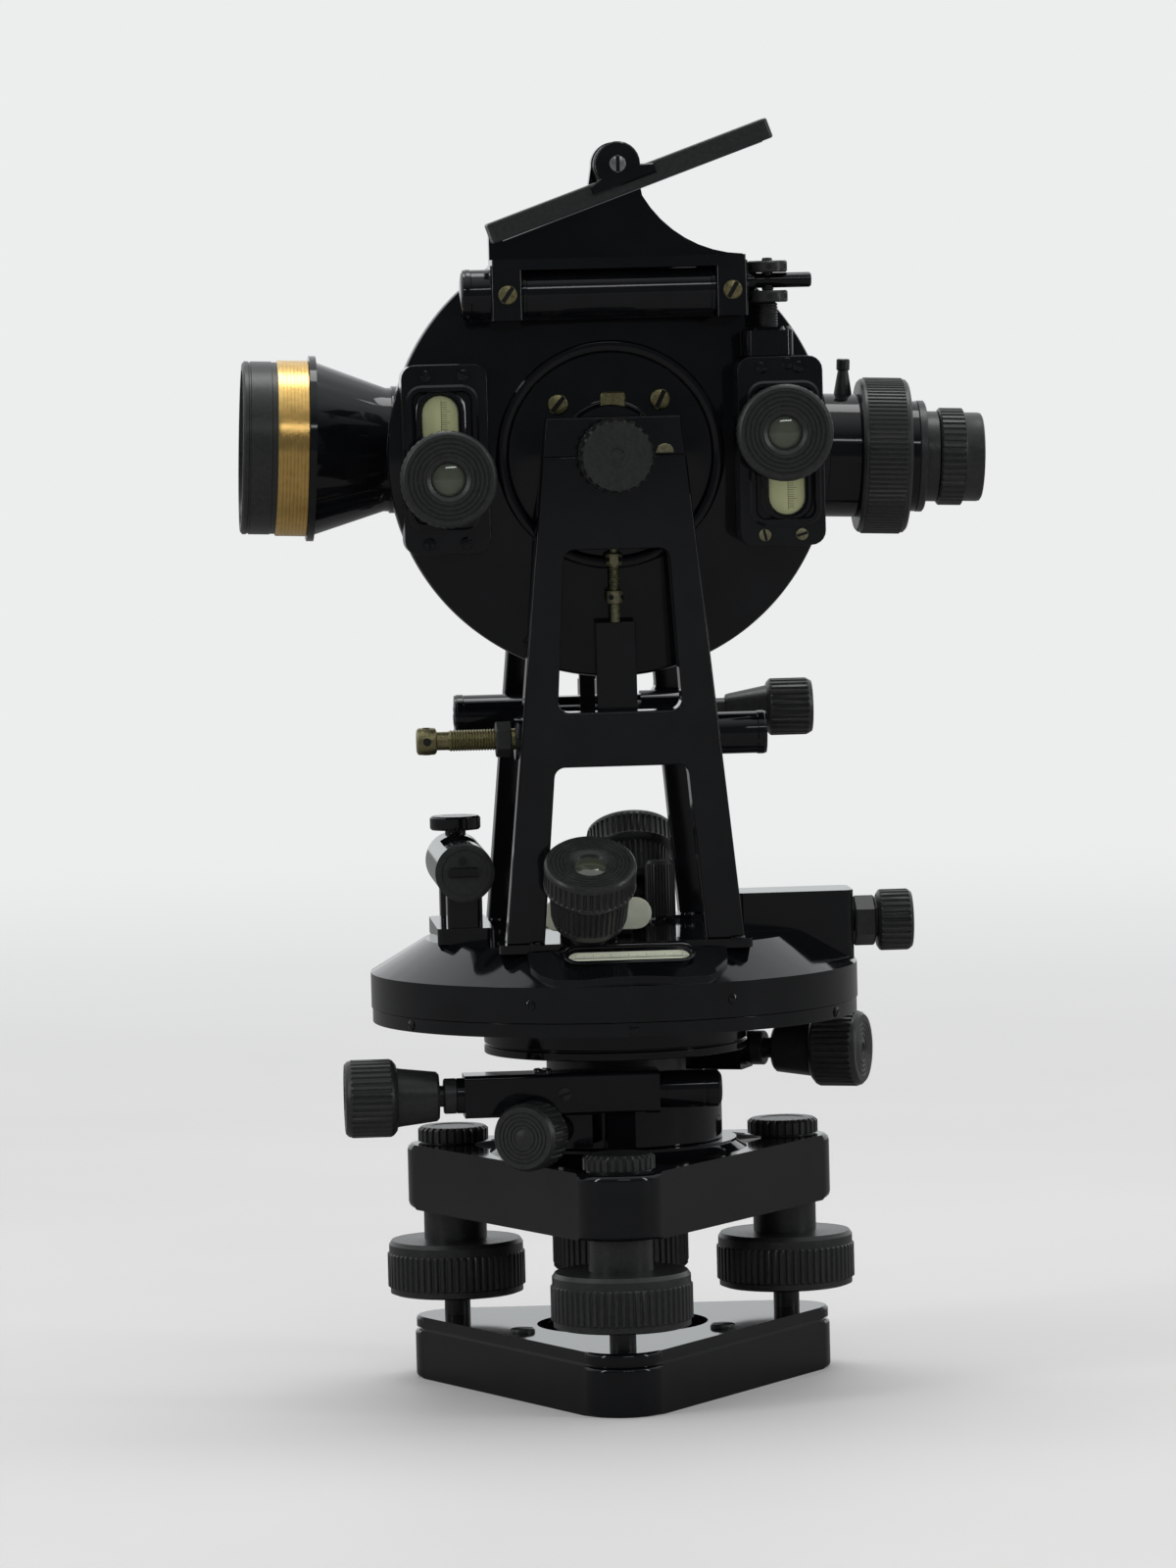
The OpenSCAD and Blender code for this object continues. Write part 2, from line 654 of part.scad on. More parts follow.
// Alidade
module inner_axis() {
    color([0.5, 0.5, 0.52]) {
        translate([0, 0, hub_bottom_z]) cylinder(r = inner_axis_r, h = ceiling_z - hub_bottom_z);
        translate([0, 0, ceiling_z - axis_flange_h]) cylinder(r = axis_flange_r, h = axis_flange_h);
    }
}
module clamp_housing() {
    difference() {
        translate([0, 0, slope_z - 4]) linear_extrude(plate_top_z + housing_plate_h - slope_z + 4)
            polygon(rounded([[34, -housing_plate_w / 2], [upper_clamp_x, -housing_plate_w / 2],
                [upper_clamp_x, housing_plate_w / 2], [34, housing_plate_w / 2]], 3));
        translate([0, 0, slope_z - 5]) cylinder(r = cover_r - 6, h = 5);
        at_upper_clamp() translate([0, 0, -30]) cylinder(r = small_screw_r + run_gap, h = 60);
    }
}
module at_upper_clamp() {
    translate([upper_clamp_x, 0, plate_top_z + 1.4]) along_x() children();
}
module plate_cover() {
    slope_in = cover_r - cover_wall;
    pad_in = cover_top_r + 1.5;
    pad_out = cover_r - 0.5;
    pad_z = slope_z + window_pad_h / cos(atan(slope_fall));
    color([0.04, 0.045, 0.05]) difference() {
        union() {
            rotate_extrude() polygon([[0, ceiling_z], [cover_top_r - 2, ceiling_z], [slope_in, slope_z - 1.5],
                [slope_in, cover_z], [cover_r, cover_z], [cover_r, slope_z], [cover_top_r, plate_top_z],
                [0, plate_top_z]]);
            for (side = [-1, 1]) {
                translate([0, side * standard_y, plate_top_z - 1])
                    block(2 * foot_half_w + 4, standard_t + 4, standard_foot_z - plate_top_z + 1, 2);
                intersection() {
                    translate([0, side * (window_y - 5), slope_z]) block(window_len + 22, 30, 20, 14);
                    rotate_extrude() polygon([[pad_in, slope_z - 1 + (cover_r - pad_in) * slope_fall],
                        [pad_out, slope_z + 0.2], [pad_out, pad_z + (cover_r - pad_out) * slope_fall],
                        [pad_in + 2, pad_z + (cover_r - pad_in - 2) * slope_fall]]);
                }
                at_magnifier(side) translate([0, 0, -1]) cylinder(r = magnifier_stem_r + 2.5, h = 5);
            }
            clamp_housing();
        }
        for (side = [-1, 1]) {
            at_window(side) translate([0, 0, -8]) linear_extrude(20) window_slot(0);
            at_magnifier(side) translate([0, 0, -8]) cylinder(r = magnifier_stem_r + run_gap, h = 40);
        }
        at_upper_clamp() translate([0, 0, -30]) cylinder(r = small_screw_r + run_gap, h = 60);
    }
}
module plate_bottom_ring() {
    color([0.04, 0.045, 0.05]) {
        translate([0, 0, bottom_ring_z]) ring(cover_r - 0.3, drum_r + 1, bottom_ring_h);
        translate([0, 0, bottom_ring_z + bottom_ring_h - eps]) ring(cover_r - 0.9, cover_r - 2, 0.2 + eps);
    }
}
module plate_verniers() {
    color([0.75, 0.75, 0.73]) for (side = [-1, 1]) intersection() {
        translate([0, 0, circle_z]) ring(cover_r - cover_wall - seat_gap, circle_r + pass_gap, circle_h);
        translate([-vernier_len / 2, side * cover_r - 9, circle_z]) cube([vernier_len, 18, circle_h]);
    }
}
module plate_windows() {
    color([0.9, 0.92, 0.75]) for (side = [-1, 1]) at_window(side) translate([0, 0, -2])
        linear_extrude(2.2) window_slot(seat_gap);
}
module upper_clamp_screw() {
    color([0.06, 0.065, 0.07]) at_upper_clamp() {
        translate([0, 0, -12]) cylinder(r = small_screw_r, h = 20);
        translate([0, 0, 0.6]) cylinder(r = 7.2, h = upper_knob_at - 1.2, $fn = 6);
        translate([0, 0, upper_knob_at - 0.6]) cylinder(r = 4, h = 1);
        translate([0, 0, upper_knob_at]) knob(upper_knob_r, upper_knob_len, 0.8);
    }
}
module magnifier(side) {
    r = magnifier_r;
    end = magnifier_len;
    color([0.05, 0.055, 0.06]) at_magnifier(side) rotate_extrude() polygon([[0, -3], [magnifier_stem_r, -3],
        [magnifier_stem_r, 9], [r - 3, 9], [r - 2, 10], [r - 1.6, end - 9], [r, end - 8], [r, end - 0.8],
        [r - 0.8, end], [5.6, end], [4, end - 2], [0, end - 2]]);
}
module at_plate_level() {
    translate([-plate_level_x, 0, plate_top_z + plate_level_r + plate_level_lift]) children();
}
module plate_level_case() {
    half = plate_level_len / 2;
    post_y = half - 8;
    color([0.05, 0.055, 0.06]) at_plate_level() difference() {
        union() {
            rotate([-90, 0, 0]) translate([0, 0, -half]) cylinder(r = plate_level_r, h = plate_level_len);
            for (side = [-1, 1]) translate([0, side * post_y, -plate_level_r - plate_level_lift])
                block(10, 9, plate_level_r + plate_level_lift, 1.5);
            translate([0, 0, -plate_level_r - plate_level_lift]) block(16, plate_level_len - 4, 4.5, 2);
            translate([0, post_y, 0]) cylinder(r = small_screw_r, h = plate_level_r + 2);
            translate([0, post_y, plate_level_r + 1]) knob(7.3, 4, 0.6);
        }
        rotate([-90, 0, 0]) translate([0, 0, -half + level_cap])
            cylinder(r = plate_level_r - plate_level_wall, h = plate_level_len - 2 * level_cap);
        translate([-5, -half + 13, 0]) cube([10, plate_level_len - 30, 20]);
    }
}
module plate_level_vial() {
    color([0.85, 0.9, 0.7]) at_plate_level() rotate([-90, 0, 0])
        translate([0, 0, -plate_level_len / 2 + level_cap])
        cylinder(r = plate_level_r - plate_level_wall - seat_gap, h = plate_level_len - 2 * level_cap);
}

// Standards, drawn for the near side and turned for the far one
module at_clip(side) {
    translate([0, side * clip_y, crossbar_mid_z + (side > 0 ? tangent_rise : 0)]) children();
}
module standard_outline() {
    foot = half_w(standard_foot_z);
    in_foot = foot - leg_w;
    in_bar = half_w(crossbar_z) - leg_w;
    window_low = half_w(crossbar_top_z) - leg_mid_w;
    window_top = half_w(crossbar_top_z + window_h) - leg_top_w;
    difference() {
        polygon([[-foot, standard_foot_z], [foot, standard_foot_z], [top_half_w, trunnion_z],
            [-top_half_w, trunnion_z]]);
        polygon(rounded([[-in_foot, standard_foot_z - 8], [in_foot, standard_foot_z - 8], [in_bar, crossbar_z],
            [-in_bar, crossbar_z]], 3));
        polygon(rounded([[-window_low, crossbar_top_z], [window_low, crossbar_top_z],
            [window_top, crossbar_top_z + window_h], [-window_top, crossbar_top_z + window_h]], 3));
    }
}
module standard(side) {
    // the clip or tangent screw enters from -X on the near side and from +X on the far side
    color([0.04, 0.045, 0.05]) difference() {
        union() {
            translate([0, side * standard_y + standard_t / 2, 0]) rotate([90, 0, 0])
                linear_extrude(standard_t) standard_outline();
            for (s = [-1, 1]) at_clip(side) translate([s * 20 - 8, -4 + side * 3, -4.5]) cube([16, 8, 9]);
            for (s = [-90, 90]) at_clip(side) rotate([0, s, 0]) translate([0, 0, boss_start])
                cylinder(r = clip_boss_r, h = boss_end - boss_start);
            at_clip(side) rotate([0, 0, side > 0 ? 180 : 0]) along_x() translate([0, 0, boss_end - 1])
                cylinder(r = clip_boss_r, h = spring_end - boss_end + 1);
        }
        at_clip(side) rotate([0, 0, side > 0 ? 180 : 0]) {
            rotate([0, -90, 0]) cylinder(r = tangent_spindle_r + run_gap, h = 60);
            along_x() cylinder(r = plunger_r + plunger_gap, h = spring_end - 3);
        }
        translate([0, side * standard_y + standard_t, trunnion_z]) along_minus_y()
            cylinder(r = trunnion_r + run_gap, h = 2 * standard_t);
        for (s = [-1, 1]) translate([s * cap_screw_x, side * standard_y, trunnion_z - cap_screw_depth])
            cylinder(r = cap_screw_r + seat_gap, h = 20);
    }
}
module near_standard() {
    standard(-1);
}
module far_standard() {
    standard(1);
}
module bearing_cap(side) {
    color([0.04, 0.045, 0.05]) difference() {
        translate([0, side * standard_y + standard_t / 2, trunnion_z]) rotate([90, 0, 0])
            linear_extrude(standard_t) polygon([[-top_half_w + 0.2, 0], [top_half_w - 0.2, 0],
                [top_half_w - 1.5, bearing_cap_h], [-top_half_w + 1.5, bearing_cap_h]]);
        translate([0, side * standard_y + standard_t, trunnion_z]) along_minus_y()
            cylinder(r = trunnion_r + run_gap, h = 2 * standard_t);
        for (s = [-1, 1]) translate([s * cap_screw_x, side * standard_y, trunnion_z - cap_screw_depth]) {
            cylinder(r = cap_screw_r + seat_gap, h = 60);
            translate([0, 0, cap_screw_depth + bearing_cap_h - 2]) cylinder(r = cap_head_r + seat_gap, h = 20);
        }
    }
}
module near_bearing_cap() {
    bearing_cap(-1);
}
module far_bearing_cap() {
    bearing_cap(1);
}
module cap_screws() {
    color([0.55, 0.45, 0.25]) for (side = [-1, 1]) for (s = [-1, 1])
        translate([s * cap_screw_x, side * standard_y, trunnion_z]) {
            translate([0, 0, -cap_screw_depth])
                cylinder(r = cap_screw_r, h = bearing_cap_h + cap_screw_depth - 1.5);
            translate([0, 0, bearing_cap_h - 2]) cylinder(r = cap_head_r, h = 1.8);
        }
}

// Vertical clamp
module arm_leg(side) {
    translate([-leg_half_w, side * clip_y - leg_t / 2, leg_bottom_z]) cube([2 * leg_half_w, leg_t, 20]);
}
module arm_holes(side, screw_side) {
    at_clip(side) rotate([0, 0, screw_side < 0 ? 180 : 0]) along_x() translate([0, 0, -lug_web])
        cylinder(r = tangent_spindle_r + lug_hole_gap, h = 40);
}
module arm_plunger(side, screw_side) {
    at_clip(side) rotate([0, 0, screw_side < 0 ? 180 : 0]) rotate([0, -90, 0])
        translate([0, 0, lug_web + 0.5]) cylinder(r = plunger_r, h = 33);
}
module vertical_clamp_arm() {
    color([0.04, 0.045, 0.05]) difference() {
        union() {
            on_trunnion() rotate([-90, 0, 0]) translate([0, 0, vertical_ring_y])
                cylinder(r = vertical_ring_r, h = vertical_ring_t);
            translate([-leg_half_w, vertical_ring_y + vertical_ring_t - clamp_web_t, leg_bottom_z])
                cube([2 * leg_half_w, clamp_web_t, trunnion_z - crossbar_mid_z]);
            arm_leg(1);
            arm_plunger(1, 1);
        }
        on_trunnion() rotate([-90, 0, 0]) cylinder(r = trunnion_r + run_gap, h = 60);
        arm_holes(1, 1);
    }
}
module vertical_tangent_screw() {
    neck_at = boss_end + 8;
    knob_at = neck_at + screw_neck_len;
    knob_end = knob_at + side_knob_len;
    r = side_knob_r;
    color([0.06, 0.065, 0.07]) at_clip(1) along_x() rotate_extrude() polygon([[0, screw_tip],
        [tangent_spindle_r, screw_tip], [tangent_spindle_r, neck_at], [tangent_spindle_r + 1, neck_at],
        [r - 1.9, knob_at], [r, knob_at], [r, knob_end - 0.8], [r - 0.8, knob_end], [0, knob_end]]);
}

// Telescope
module telescope_tube() {
    r = tube_r;
    in = tube_r - tube_wall;
    bell = hood_r - 3;
    color([0.04, 0.045, 0.05]) difference() {
        union() {
            on_sight_line() rotate_extrude() polygon([[in, tube_end], [r - 1.8, tube_end], [r - 1.8, focus_at + 1],
                [r, focus_at + 1], [r, -cone_end], [hood_r, -flange_at + 2],
                [flange_r, -flange_at + 2], [flange_r, -flange_at], [hood_r - 1.2, -flange_at],
                [hood_r - 1.2, -flange_at - band_w], [bell, -flange_at - band_w], [bell, -flange_at + 2],
                [in, -cone_end]]);
            on_trunnion() rotate([-90, 0, 0]) translate([0, 0, -index_back_y + 0.6])
                cylinder(r = 13, h = index_back_y + vertical_ring_y - 1.2);
        }
        on_sight_line() translate([0, 0, -cone_end]) cylinder(r = in, h = cone_end + focus_at);
        on_trunnion() rotate([-90, 0, 0]) translate([0, 0, -60]) cylinder(r = trunnion_r + seat_gap, h = 120);
    }
}
module trunnion_axle() {
    stub = standard_out_y - 1 - tube_r;
    color([0.5, 0.5, 0.52]) on_trunnion() for (side = [-1, 1]) rotate([-90 * side, 0, 0])
        translate([0, 0, tube_r - 1]) cylinder(r = trunnion_r, h = stub);
}
module objective_hood() {
    color([0.05, 0.055, 0.06]) on_sight_line() translate([0, 0, -hood_end]) {
        ring(hood_r, hood_r - 2.6, hood_end - flange_at - band_w);
    }
}
module brass_band() {
    color([0.75, 0.55, 0.2]) on_sight_line() translate([0, 0, -flange_at - band_w])
        ring(hood_r + 0.4, hood_r - 1.2 + seat_gap, band_w);
}
module objective_lens() {
    color([0.6, 0.75, 0.8]) on_sight_line() translate([0, 0, -flange_at - 7])
        rotate_extrude() polygon([[0, -1.5], [12, -0.8], [hood_r - 3 - seat_gap, 0],
            [hood_r - 3 - seat_gap, 5], [0, 5]]);
}
module focusing_ring() {
    color([0.06, 0.065, 0.07]) on_sight_line() translate([0, 0, focus_at + 1 + pass_gap]) difference() {
        knob(focus_r, focus_len - 1, 0.8);
        translate([0, 0, -1]) cylinder(r = tube_r - 1.8 + run_gap, h = focus_len + 2);
    }
}
module focusing_lens() {
    color([0.6, 0.75, 0.8]) on_sight_line() translate([0, 0, focus_at - 28 - focus_travel])
        ring(tube_r - tube_wall - run_gap, 1, 8);
}
module reticle() {
    color([0.7, 0.8, 0.85]) on_sight_line() translate([0, 0, focus_at - 8])
        ring(tube_r - tube_wall - seat_gap, 0.6, 2);
}
module eyepiece_tube() {
    color([0.05, 0.055, 0.06]) on_sight_line() rotate_extrude() polygon([[3, tube_end - 12],
        [tube_r - tube_wall - seat_gap, tube_end - 12], [tube_r - tube_wall - seat_gap, tube_end],
        [eyepiece_r, tube_end], [eyepiece_r, eyepiece_end - 13], [9, eyepiece_end - 13], [9, eyepiece_end - 2],
        [3, eyepiece_end - 2]]);
}
module eyepiece_ring() {
    e = eyepiece_end;
    g = 9 + run_gap;
    r = eyepiece_r;
    color([0.06, 0.065, 0.07]) on_sight_line() rotate_extrude() polygon([[g, e - 12.7], [r + 1, e - 12.7],
        [r + 1, e - 5.5], [r - 0.2, e - 5.5], [r - 0.2, e - 0.8], [r - 1, e],
        [5, e], [4, e - 1.5], [g, e - 1.5]]);
}
module rear_sight() {
    color([0.3, 0.27, 0.18]) on_sight_line() translate([-tube_r, 0, focus_at - 3]) rotate([0, -90, 0]) {
        cylinder(r = 1.6, h = 6.4);
        translate([0, 0, 6]) cylinder(r = 2.6, h = 4);
    }
}
module vertical_circle() {
    color([0.75, 0.75, 0.73]) on_trunnion() rotate([-90, 0, 0])
        translate([0, 0, -index_front_y + index_wall + 1.6])
            ring(vertical_circle_r, trunnion_r + seat_gap, 2.5);
}
module trunnion_knob() {
    color([0.06, 0.065, 0.07]) on_trunnion() along_minus_y() translate([0, 0, standard_out_y + pass_gap])
        knob(10.5, 12, 0.8);
}

// Index frame
module circle_cover() {
    rim = 3;
    color([0.04, 0.045, 0.05]) on_trunnion() along_minus_y() difference() {
        union() {
            translate([0, 0, index_back_y]) cylinder(r = index_cover_r, h = index_cover_t);
            translate([0, 0, index_front_y - 1]) ring(raised_ring_r, raised_ring_r - 2.6, 2);
            cylinder(r = 14, h = index_front_y + 3);
        }
        translate([0, 0, index_back_y - 60])
            cylinder(r = index_cover_r - rim, h = 60 + index_cover_t - index_wall);
        cylinder(r = trunnion_r + run_gap, h = 80);
        translate([0, 0, index_back_y - 60]) cylinder(r = 16, h = 60 + index_cover_t - index_wall);
    }
}
module circle_back() {
    color([0.05, 0.055, 0.06]) on_trunnion() along_minus_y() translate([0, 0, index_back_y])
        ring(index_cover_r - 3 - seat_gap, 13.6, back_plate_t);
}
module index_arm() {
    color([0.04, 0.045, 0.05]) difference() {
        union() {
            translate([-leg_half_w, -clip_y - leg_t / 2, leg_bottom_z])
                cube([2 * leg_half_w, leg_t, trunnion_z - index_cover_r - 0.6 - leg_bottom_z]);
            translate([-leg_half_w, -clip_y - leg_t / 2, leg_bottom_z])
                cube([2 * leg_half_w, clip_y + leg_t / 2 - index_front_y, index_arm_z - leg_bottom_z]);
            arm_plunger(-1, -1);
        }
        arm_holes(-1, -1);
    }
}
module index_screws() {
    color([0.5, 0.42, 0.25]) {
        translate([0, -index_front_y - 3.6, index_arm_z]) {
            cylinder(r = 1.4, h = 21);
            translate([0, 0, 5]) cylinder(r = 2.4, h = 4);
            translate([0, 0, 16]) knob(2.5, 3.5, 0.4);
        }
        for (s = [-1, 1]) translate([s * 14, -index_front_y, trunnion_z + 16])
            along_minus_y() cylinder(r = 2.6, h = 1.4);
    }
}
module at_microscope(s) {
    translate([s * microscope_x, -index_front_y, trunnion_z]) children();
}
module housing_window(gap) {
    polygon(rounded(rect(housing_window_w - 2 * gap, housing_window_h - 2 * gap),
        housing_window_w / 2 - 0.1 - gap));
}
module microscope_housings() {
    color([0.04, 0.045, 0.05]) for (s = [-1, 1]) at_microscope(s) difference() {
        along_minus_y() block(housing_w, housing_h, housing_t, 4);
        translate([0, 0, s * microscope_offset]) along_minus_y() translate([0, 0, housing_t - 8])
            cylinder(r = microscope_stem_r + run_gap, h = 20);
        translate([s * window_out, 0, -s * window_offset]) along_minus_y() translate([0, 0, housing_t - 4])
            linear_extrude(20) housing_window(0);
    }
}
module microscope(s) {
    r = microscope_r;
    b = housing_t + 0.4;
    e = housing_t + microscope_len;
    color([0.05, 0.055, 0.06]) at_microscope(s) translate([0, 0, s * microscope_offset]) along_minus_y()
        rotate_extrude() polygon([[0, housing_t - 7], [microscope_stem_r, housing_t - 7],
            [microscope_stem_r, b], [r - 3, b], [r - 1.5, e - 7],
            [r, e - 6], [r, e - 0.8], [r - 0.8, e], [6, e - 2], [4.5, e - 3], [0, e - 3]]);
}
module microscope_left() {
    microscope(-1);
}
module microscope_right() {
    microscope(1);
}
module vernier_windows() {
    color([0.9, 0.92, 0.75]) for (s = [-1, 1]) at_microscope(s)
        translate([s * window_out, 0, -s * window_offset]) along_minus_y() translate([0, 0, housing_t - 4])
            linear_extrude(2.6) housing_window(seat_gap);
}

// Altitude level, its bracket and the mirror
module at_level() {
    translate([2.5, -level_y, level_z]) children();
}
// Height above the level, at x, of a line under the mirror and parallel to it
function under_mirror(x, drop) = mirror_rise + x * tan(mirror_tilt) - drop / cos(mirror_tilt);
// The bracket's outline: its hollow right side, its round top and its left side, which follows the mirror
bracket_outline = concat([[-35.5, level_r + 1], [35.5, level_r + 1]],
    [for (i = [0:8]) [36.9, 43.4] + 33.4 * [cos(268 - i * 7.31), sin(268 - i * 7.31)]],
    [[6.3, mirror_rise], [-6.3, mirror_rise], [-7.7, under_mirror(-7.7, 5.6)],
        [-35.5, under_mirror(-35.5, 5.6)]]);
module altitude_level_case() {
    half = level_len / 2;
    deep = level_y - index_front_y;
    band_d = deep + level_r + 0.6;
    color([0.04, 0.045, 0.05]) at_level() difference() {
        union() {
            along_x() translate([0, 0, -half - level_end_len])
                cylinder(r = level_r, h = level_len + level_end_len);
            for (s = [-1, 1]) translate([s * (half - collar_w / 2), 0, -level_r])
                block(collar_w, 2 * level_r + 1, 2 * level_r + 1);
            for (s = [-1, 1]) translate([s * (half - collar_w / 2) - 3, 0, -3]) cube([6, deep, 6]);
            translate([0, deep - band_d / 2, level_r - 0.4]) block(level_len - 1, band_d, 3, 1);
            translate([0, deep, 0]) rotate([90, 0, 0]) linear_extrude(bracket_t) polygon(bracket_outline);
            translate([0, deep, mirror_rise]) rotate([90, 0, 0]) cylinder(r = 6.35, h = bracket_t);
        }
        along_x() translate([0, 0, -half + level_cap])
            cylinder(r = level_r - level_wall, h = level_len - 2 * level_cap);
        translate([-half + 14, -3, 0]) cube([level_len - 28, 6, 20]);
        translate([0, 0, mirror_rise]) rotate([90, 0, 0]) translate([0, 0, -30])
            cylinder(r = mirror_pin_r + run_gap, h = 60);
    }
}
module altitude_level_vial() {
    color([0.85, 0.9, 0.7]) at_level() along_x() translate([0, 0, -level_len / 2 + level_cap])
        cylinder(r = level_r - level_wall - seat_gap, h = level_len - 2 * level_cap);
}
module level_mirror() {
    deep = level_y - index_front_y - bracket_t - pass_gap;
    color([0.05, 0.055, 0.06]) at_level() translate([0, 0, mirror_rise]) rotate([0, -mirror_tilt, 0]) {
        translate([mirror_shift, deep - mirror_w / 2, -8.5]) block(mirror_len, mirror_w, mirror_t, 1.5);
        translate([0, deep, 0]) rotate([90, 0, 0]) cylinder(r = mirror_ear_r, h = mirror_ear_t);
        translate([-mirror_ear_r, deep - mirror_ear_t, -6]) cube([2 * mirror_ear_r, mirror_ear_t, 6]);
        translate([0, deep + bracket_t, 0]) rotate([90, 0, 0])
            cylinder(r = mirror_pin_r, h = bracket_t + mirror_ear_t + 1.5);
    }
}
module clip_screw() {
    color([0.55, 0.42, 0.2]) at_clip(-1) rotate([0, -90, 0]) {
        translate([0, 0, screw_tip]) cylinder(r = tangent_spindle_r, h = boss_end + clip_head_at + 0.5);
        translate([0, 0, boss_end + 1]) cylinder(r = 5, h = 4.4, $fn = 6);
        translate([0, 0, boss_end + clip_head_at]) knob(clip_head_r, 5.6, 0.5);
    }
}

base_plate();
spring_plate();
base_screws();
foot_screw(0);  // foot_screw_front
foot_screw(1);  // foot_screw_right
foot_screw(2);  // foot_screw_left
tribrach();
foot_caps();
axis_bush();
centre_nut();
lower_clamp_arm();
lower_lock_screw();
lower_clamp_screw();
lower_tangent_screw();
outer_axis();
limb_drum();
horizontal_circle();
inner_axis();
plate_cover();
plate_bottom_ring();
plate_verniers();
plate_windows();
upper_clamp_screw();
magnifier(-1);  // magnifier_near
magnifier(1);  // magnifier_far
plate_level_case();
plate_level_vial();
near_standard();
far_standard();
near_bearing_cap();
far_bearing_cap();
cap_screws();
vertical_clamp_arm();
vertical_tangent_screw();
telescope_tube();
trunnion_axle();
objective_hood();
brass_band();
objective_lens();
focusing_ring();
focusing_lens();
reticle();
eyepiece_tube();
eyepiece_ring();
rear_sight();
vertical_circle();
trunnion_knob();
circle_cover();
circle_back();
index_arm();
index_screws();
microscope_housings();
microscope_left();
microscope_right();
vernier_windows();
altitude_level_case();
altitude_level_vial();
level_mirror();
clip_screw();
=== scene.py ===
"""Looks of the transit theodolite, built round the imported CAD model.

Sizes are millimetres; Piece.make() turns them into Blender's metres. A turned shape is a list of
(radius, height) points, measured along the axis of its own place.
"""

import json
import math

import bmesh
import bpy
from mathutils import Matrix, Vector
from mathutils.geometry import convex_hull_2d

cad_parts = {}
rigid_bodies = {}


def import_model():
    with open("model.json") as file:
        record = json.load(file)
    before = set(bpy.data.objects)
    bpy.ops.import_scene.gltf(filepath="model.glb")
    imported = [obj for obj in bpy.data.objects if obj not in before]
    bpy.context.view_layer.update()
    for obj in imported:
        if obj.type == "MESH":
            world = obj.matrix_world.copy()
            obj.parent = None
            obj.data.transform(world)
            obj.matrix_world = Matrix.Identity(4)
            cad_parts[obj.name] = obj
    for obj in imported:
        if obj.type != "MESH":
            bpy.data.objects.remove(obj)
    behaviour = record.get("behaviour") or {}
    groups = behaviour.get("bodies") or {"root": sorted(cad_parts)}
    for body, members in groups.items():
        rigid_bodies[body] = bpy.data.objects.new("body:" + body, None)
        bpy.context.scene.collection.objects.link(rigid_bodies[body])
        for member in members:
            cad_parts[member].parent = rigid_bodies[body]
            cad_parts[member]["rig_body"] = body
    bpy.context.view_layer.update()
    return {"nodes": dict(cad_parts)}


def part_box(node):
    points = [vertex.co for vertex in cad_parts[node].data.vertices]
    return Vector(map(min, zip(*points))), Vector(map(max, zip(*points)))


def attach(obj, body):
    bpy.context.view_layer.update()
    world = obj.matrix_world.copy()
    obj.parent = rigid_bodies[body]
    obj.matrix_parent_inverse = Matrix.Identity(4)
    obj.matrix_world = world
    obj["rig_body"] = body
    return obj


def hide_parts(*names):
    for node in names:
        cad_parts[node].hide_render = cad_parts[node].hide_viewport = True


MM = 0.001
PLANE_TOLERANCE = 2e-5  # metres within which the points of a CAD mesh count as lying in one plane
MERGE_DISTANCE = 1.5e-4  # metres within which they are joined
FLAT_ANGLE = math.radians(0.5)  # below this two faces become one
CORNER_ANGLE = 0.5  # radians above which an edge counts as a corner to be rounded
SMOOTH_ANGLE = 32  # degrees below which two faces are shaded as one surface
COAT_ROUGHNESS = 0.06
BUMP_DEPTH = 0.0002  # metres
LINE_HEIGHT = 0.02  # of an engraved line above its scale
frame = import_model()
cad_nodes = frame["nodes"]


# Materials
def material(name, color, roughness, metallic=0.0, coat=0.0, wear=0.15, grain=400.0, bump=0.0, **sockets):
    """A surface whose colour and roughness vary a little from place to place."""
    made = bpy.data.materials.new(name)
    made.use_nodes = True
    tree, links = made.node_tree, made.node_tree.links
    shader = tree.nodes["Principled BSDF"]
    shader.inputs["Metallic"].default_value = metallic
    shader.inputs["Coat Weight"].default_value = coat
    shader.inputs["Coat Roughness"].default_value = COAT_ROUGHNESS
    for socket, value in sockets.items():
        shader.inputs[socket.replace("_", " ")].default_value = value
    place = tree.nodes.new("ShaderNodeTexCoord")
    noise = tree.nodes.new("ShaderNodeTexNoise")
    noise.inputs["Scale"].default_value = grain
    noise.inputs["Detail"].default_value = 5.0
    links.new(place.outputs["Object"], noise.inputs["Vector"])
    tint = tree.nodes.new("ShaderNodeValToRGB")
    tint.color_ramp.elements[0].position = 0.3
    tint.color_ramp.elements[1].position = 0.7
    tint.color_ramp.elements[0].color = (*[c * (1 - wear) for c in color], 1)
    tint.color_ramp.elements[1].color = (*[min(1, c * (1 + wear)) for c in color], 1)
    links.new(noise.outputs["Fac"], tint.inputs["Fac"])
    links.new(tint.outputs["Color"], shader.inputs["Base Color"])
    rough = tree.nodes.new("ShaderNodeMapRange")
    rough.inputs["To Min"].default_value = roughness * (1 - wear)
    rough.inputs["To Max"].default_value = roughness * (1 + wear)
    links.new(noise.outputs["Fac"], rough.inputs["Value"])
    links.new(rough.outputs["Result"], shader.inputs["Roughness"])
    if bump:
        relief = tree.nodes.new("ShaderNodeBump")
        relief.inputs["Strength"].default_value = bump
        relief.inputs["Distance"].default_value = BUMP_DEPTH
        links.new(noise.outputs["Fac"], relief.inputs["Height"])
        links.new(relief.outputs["Normal"], shader.inputs["Normal"])
    return made


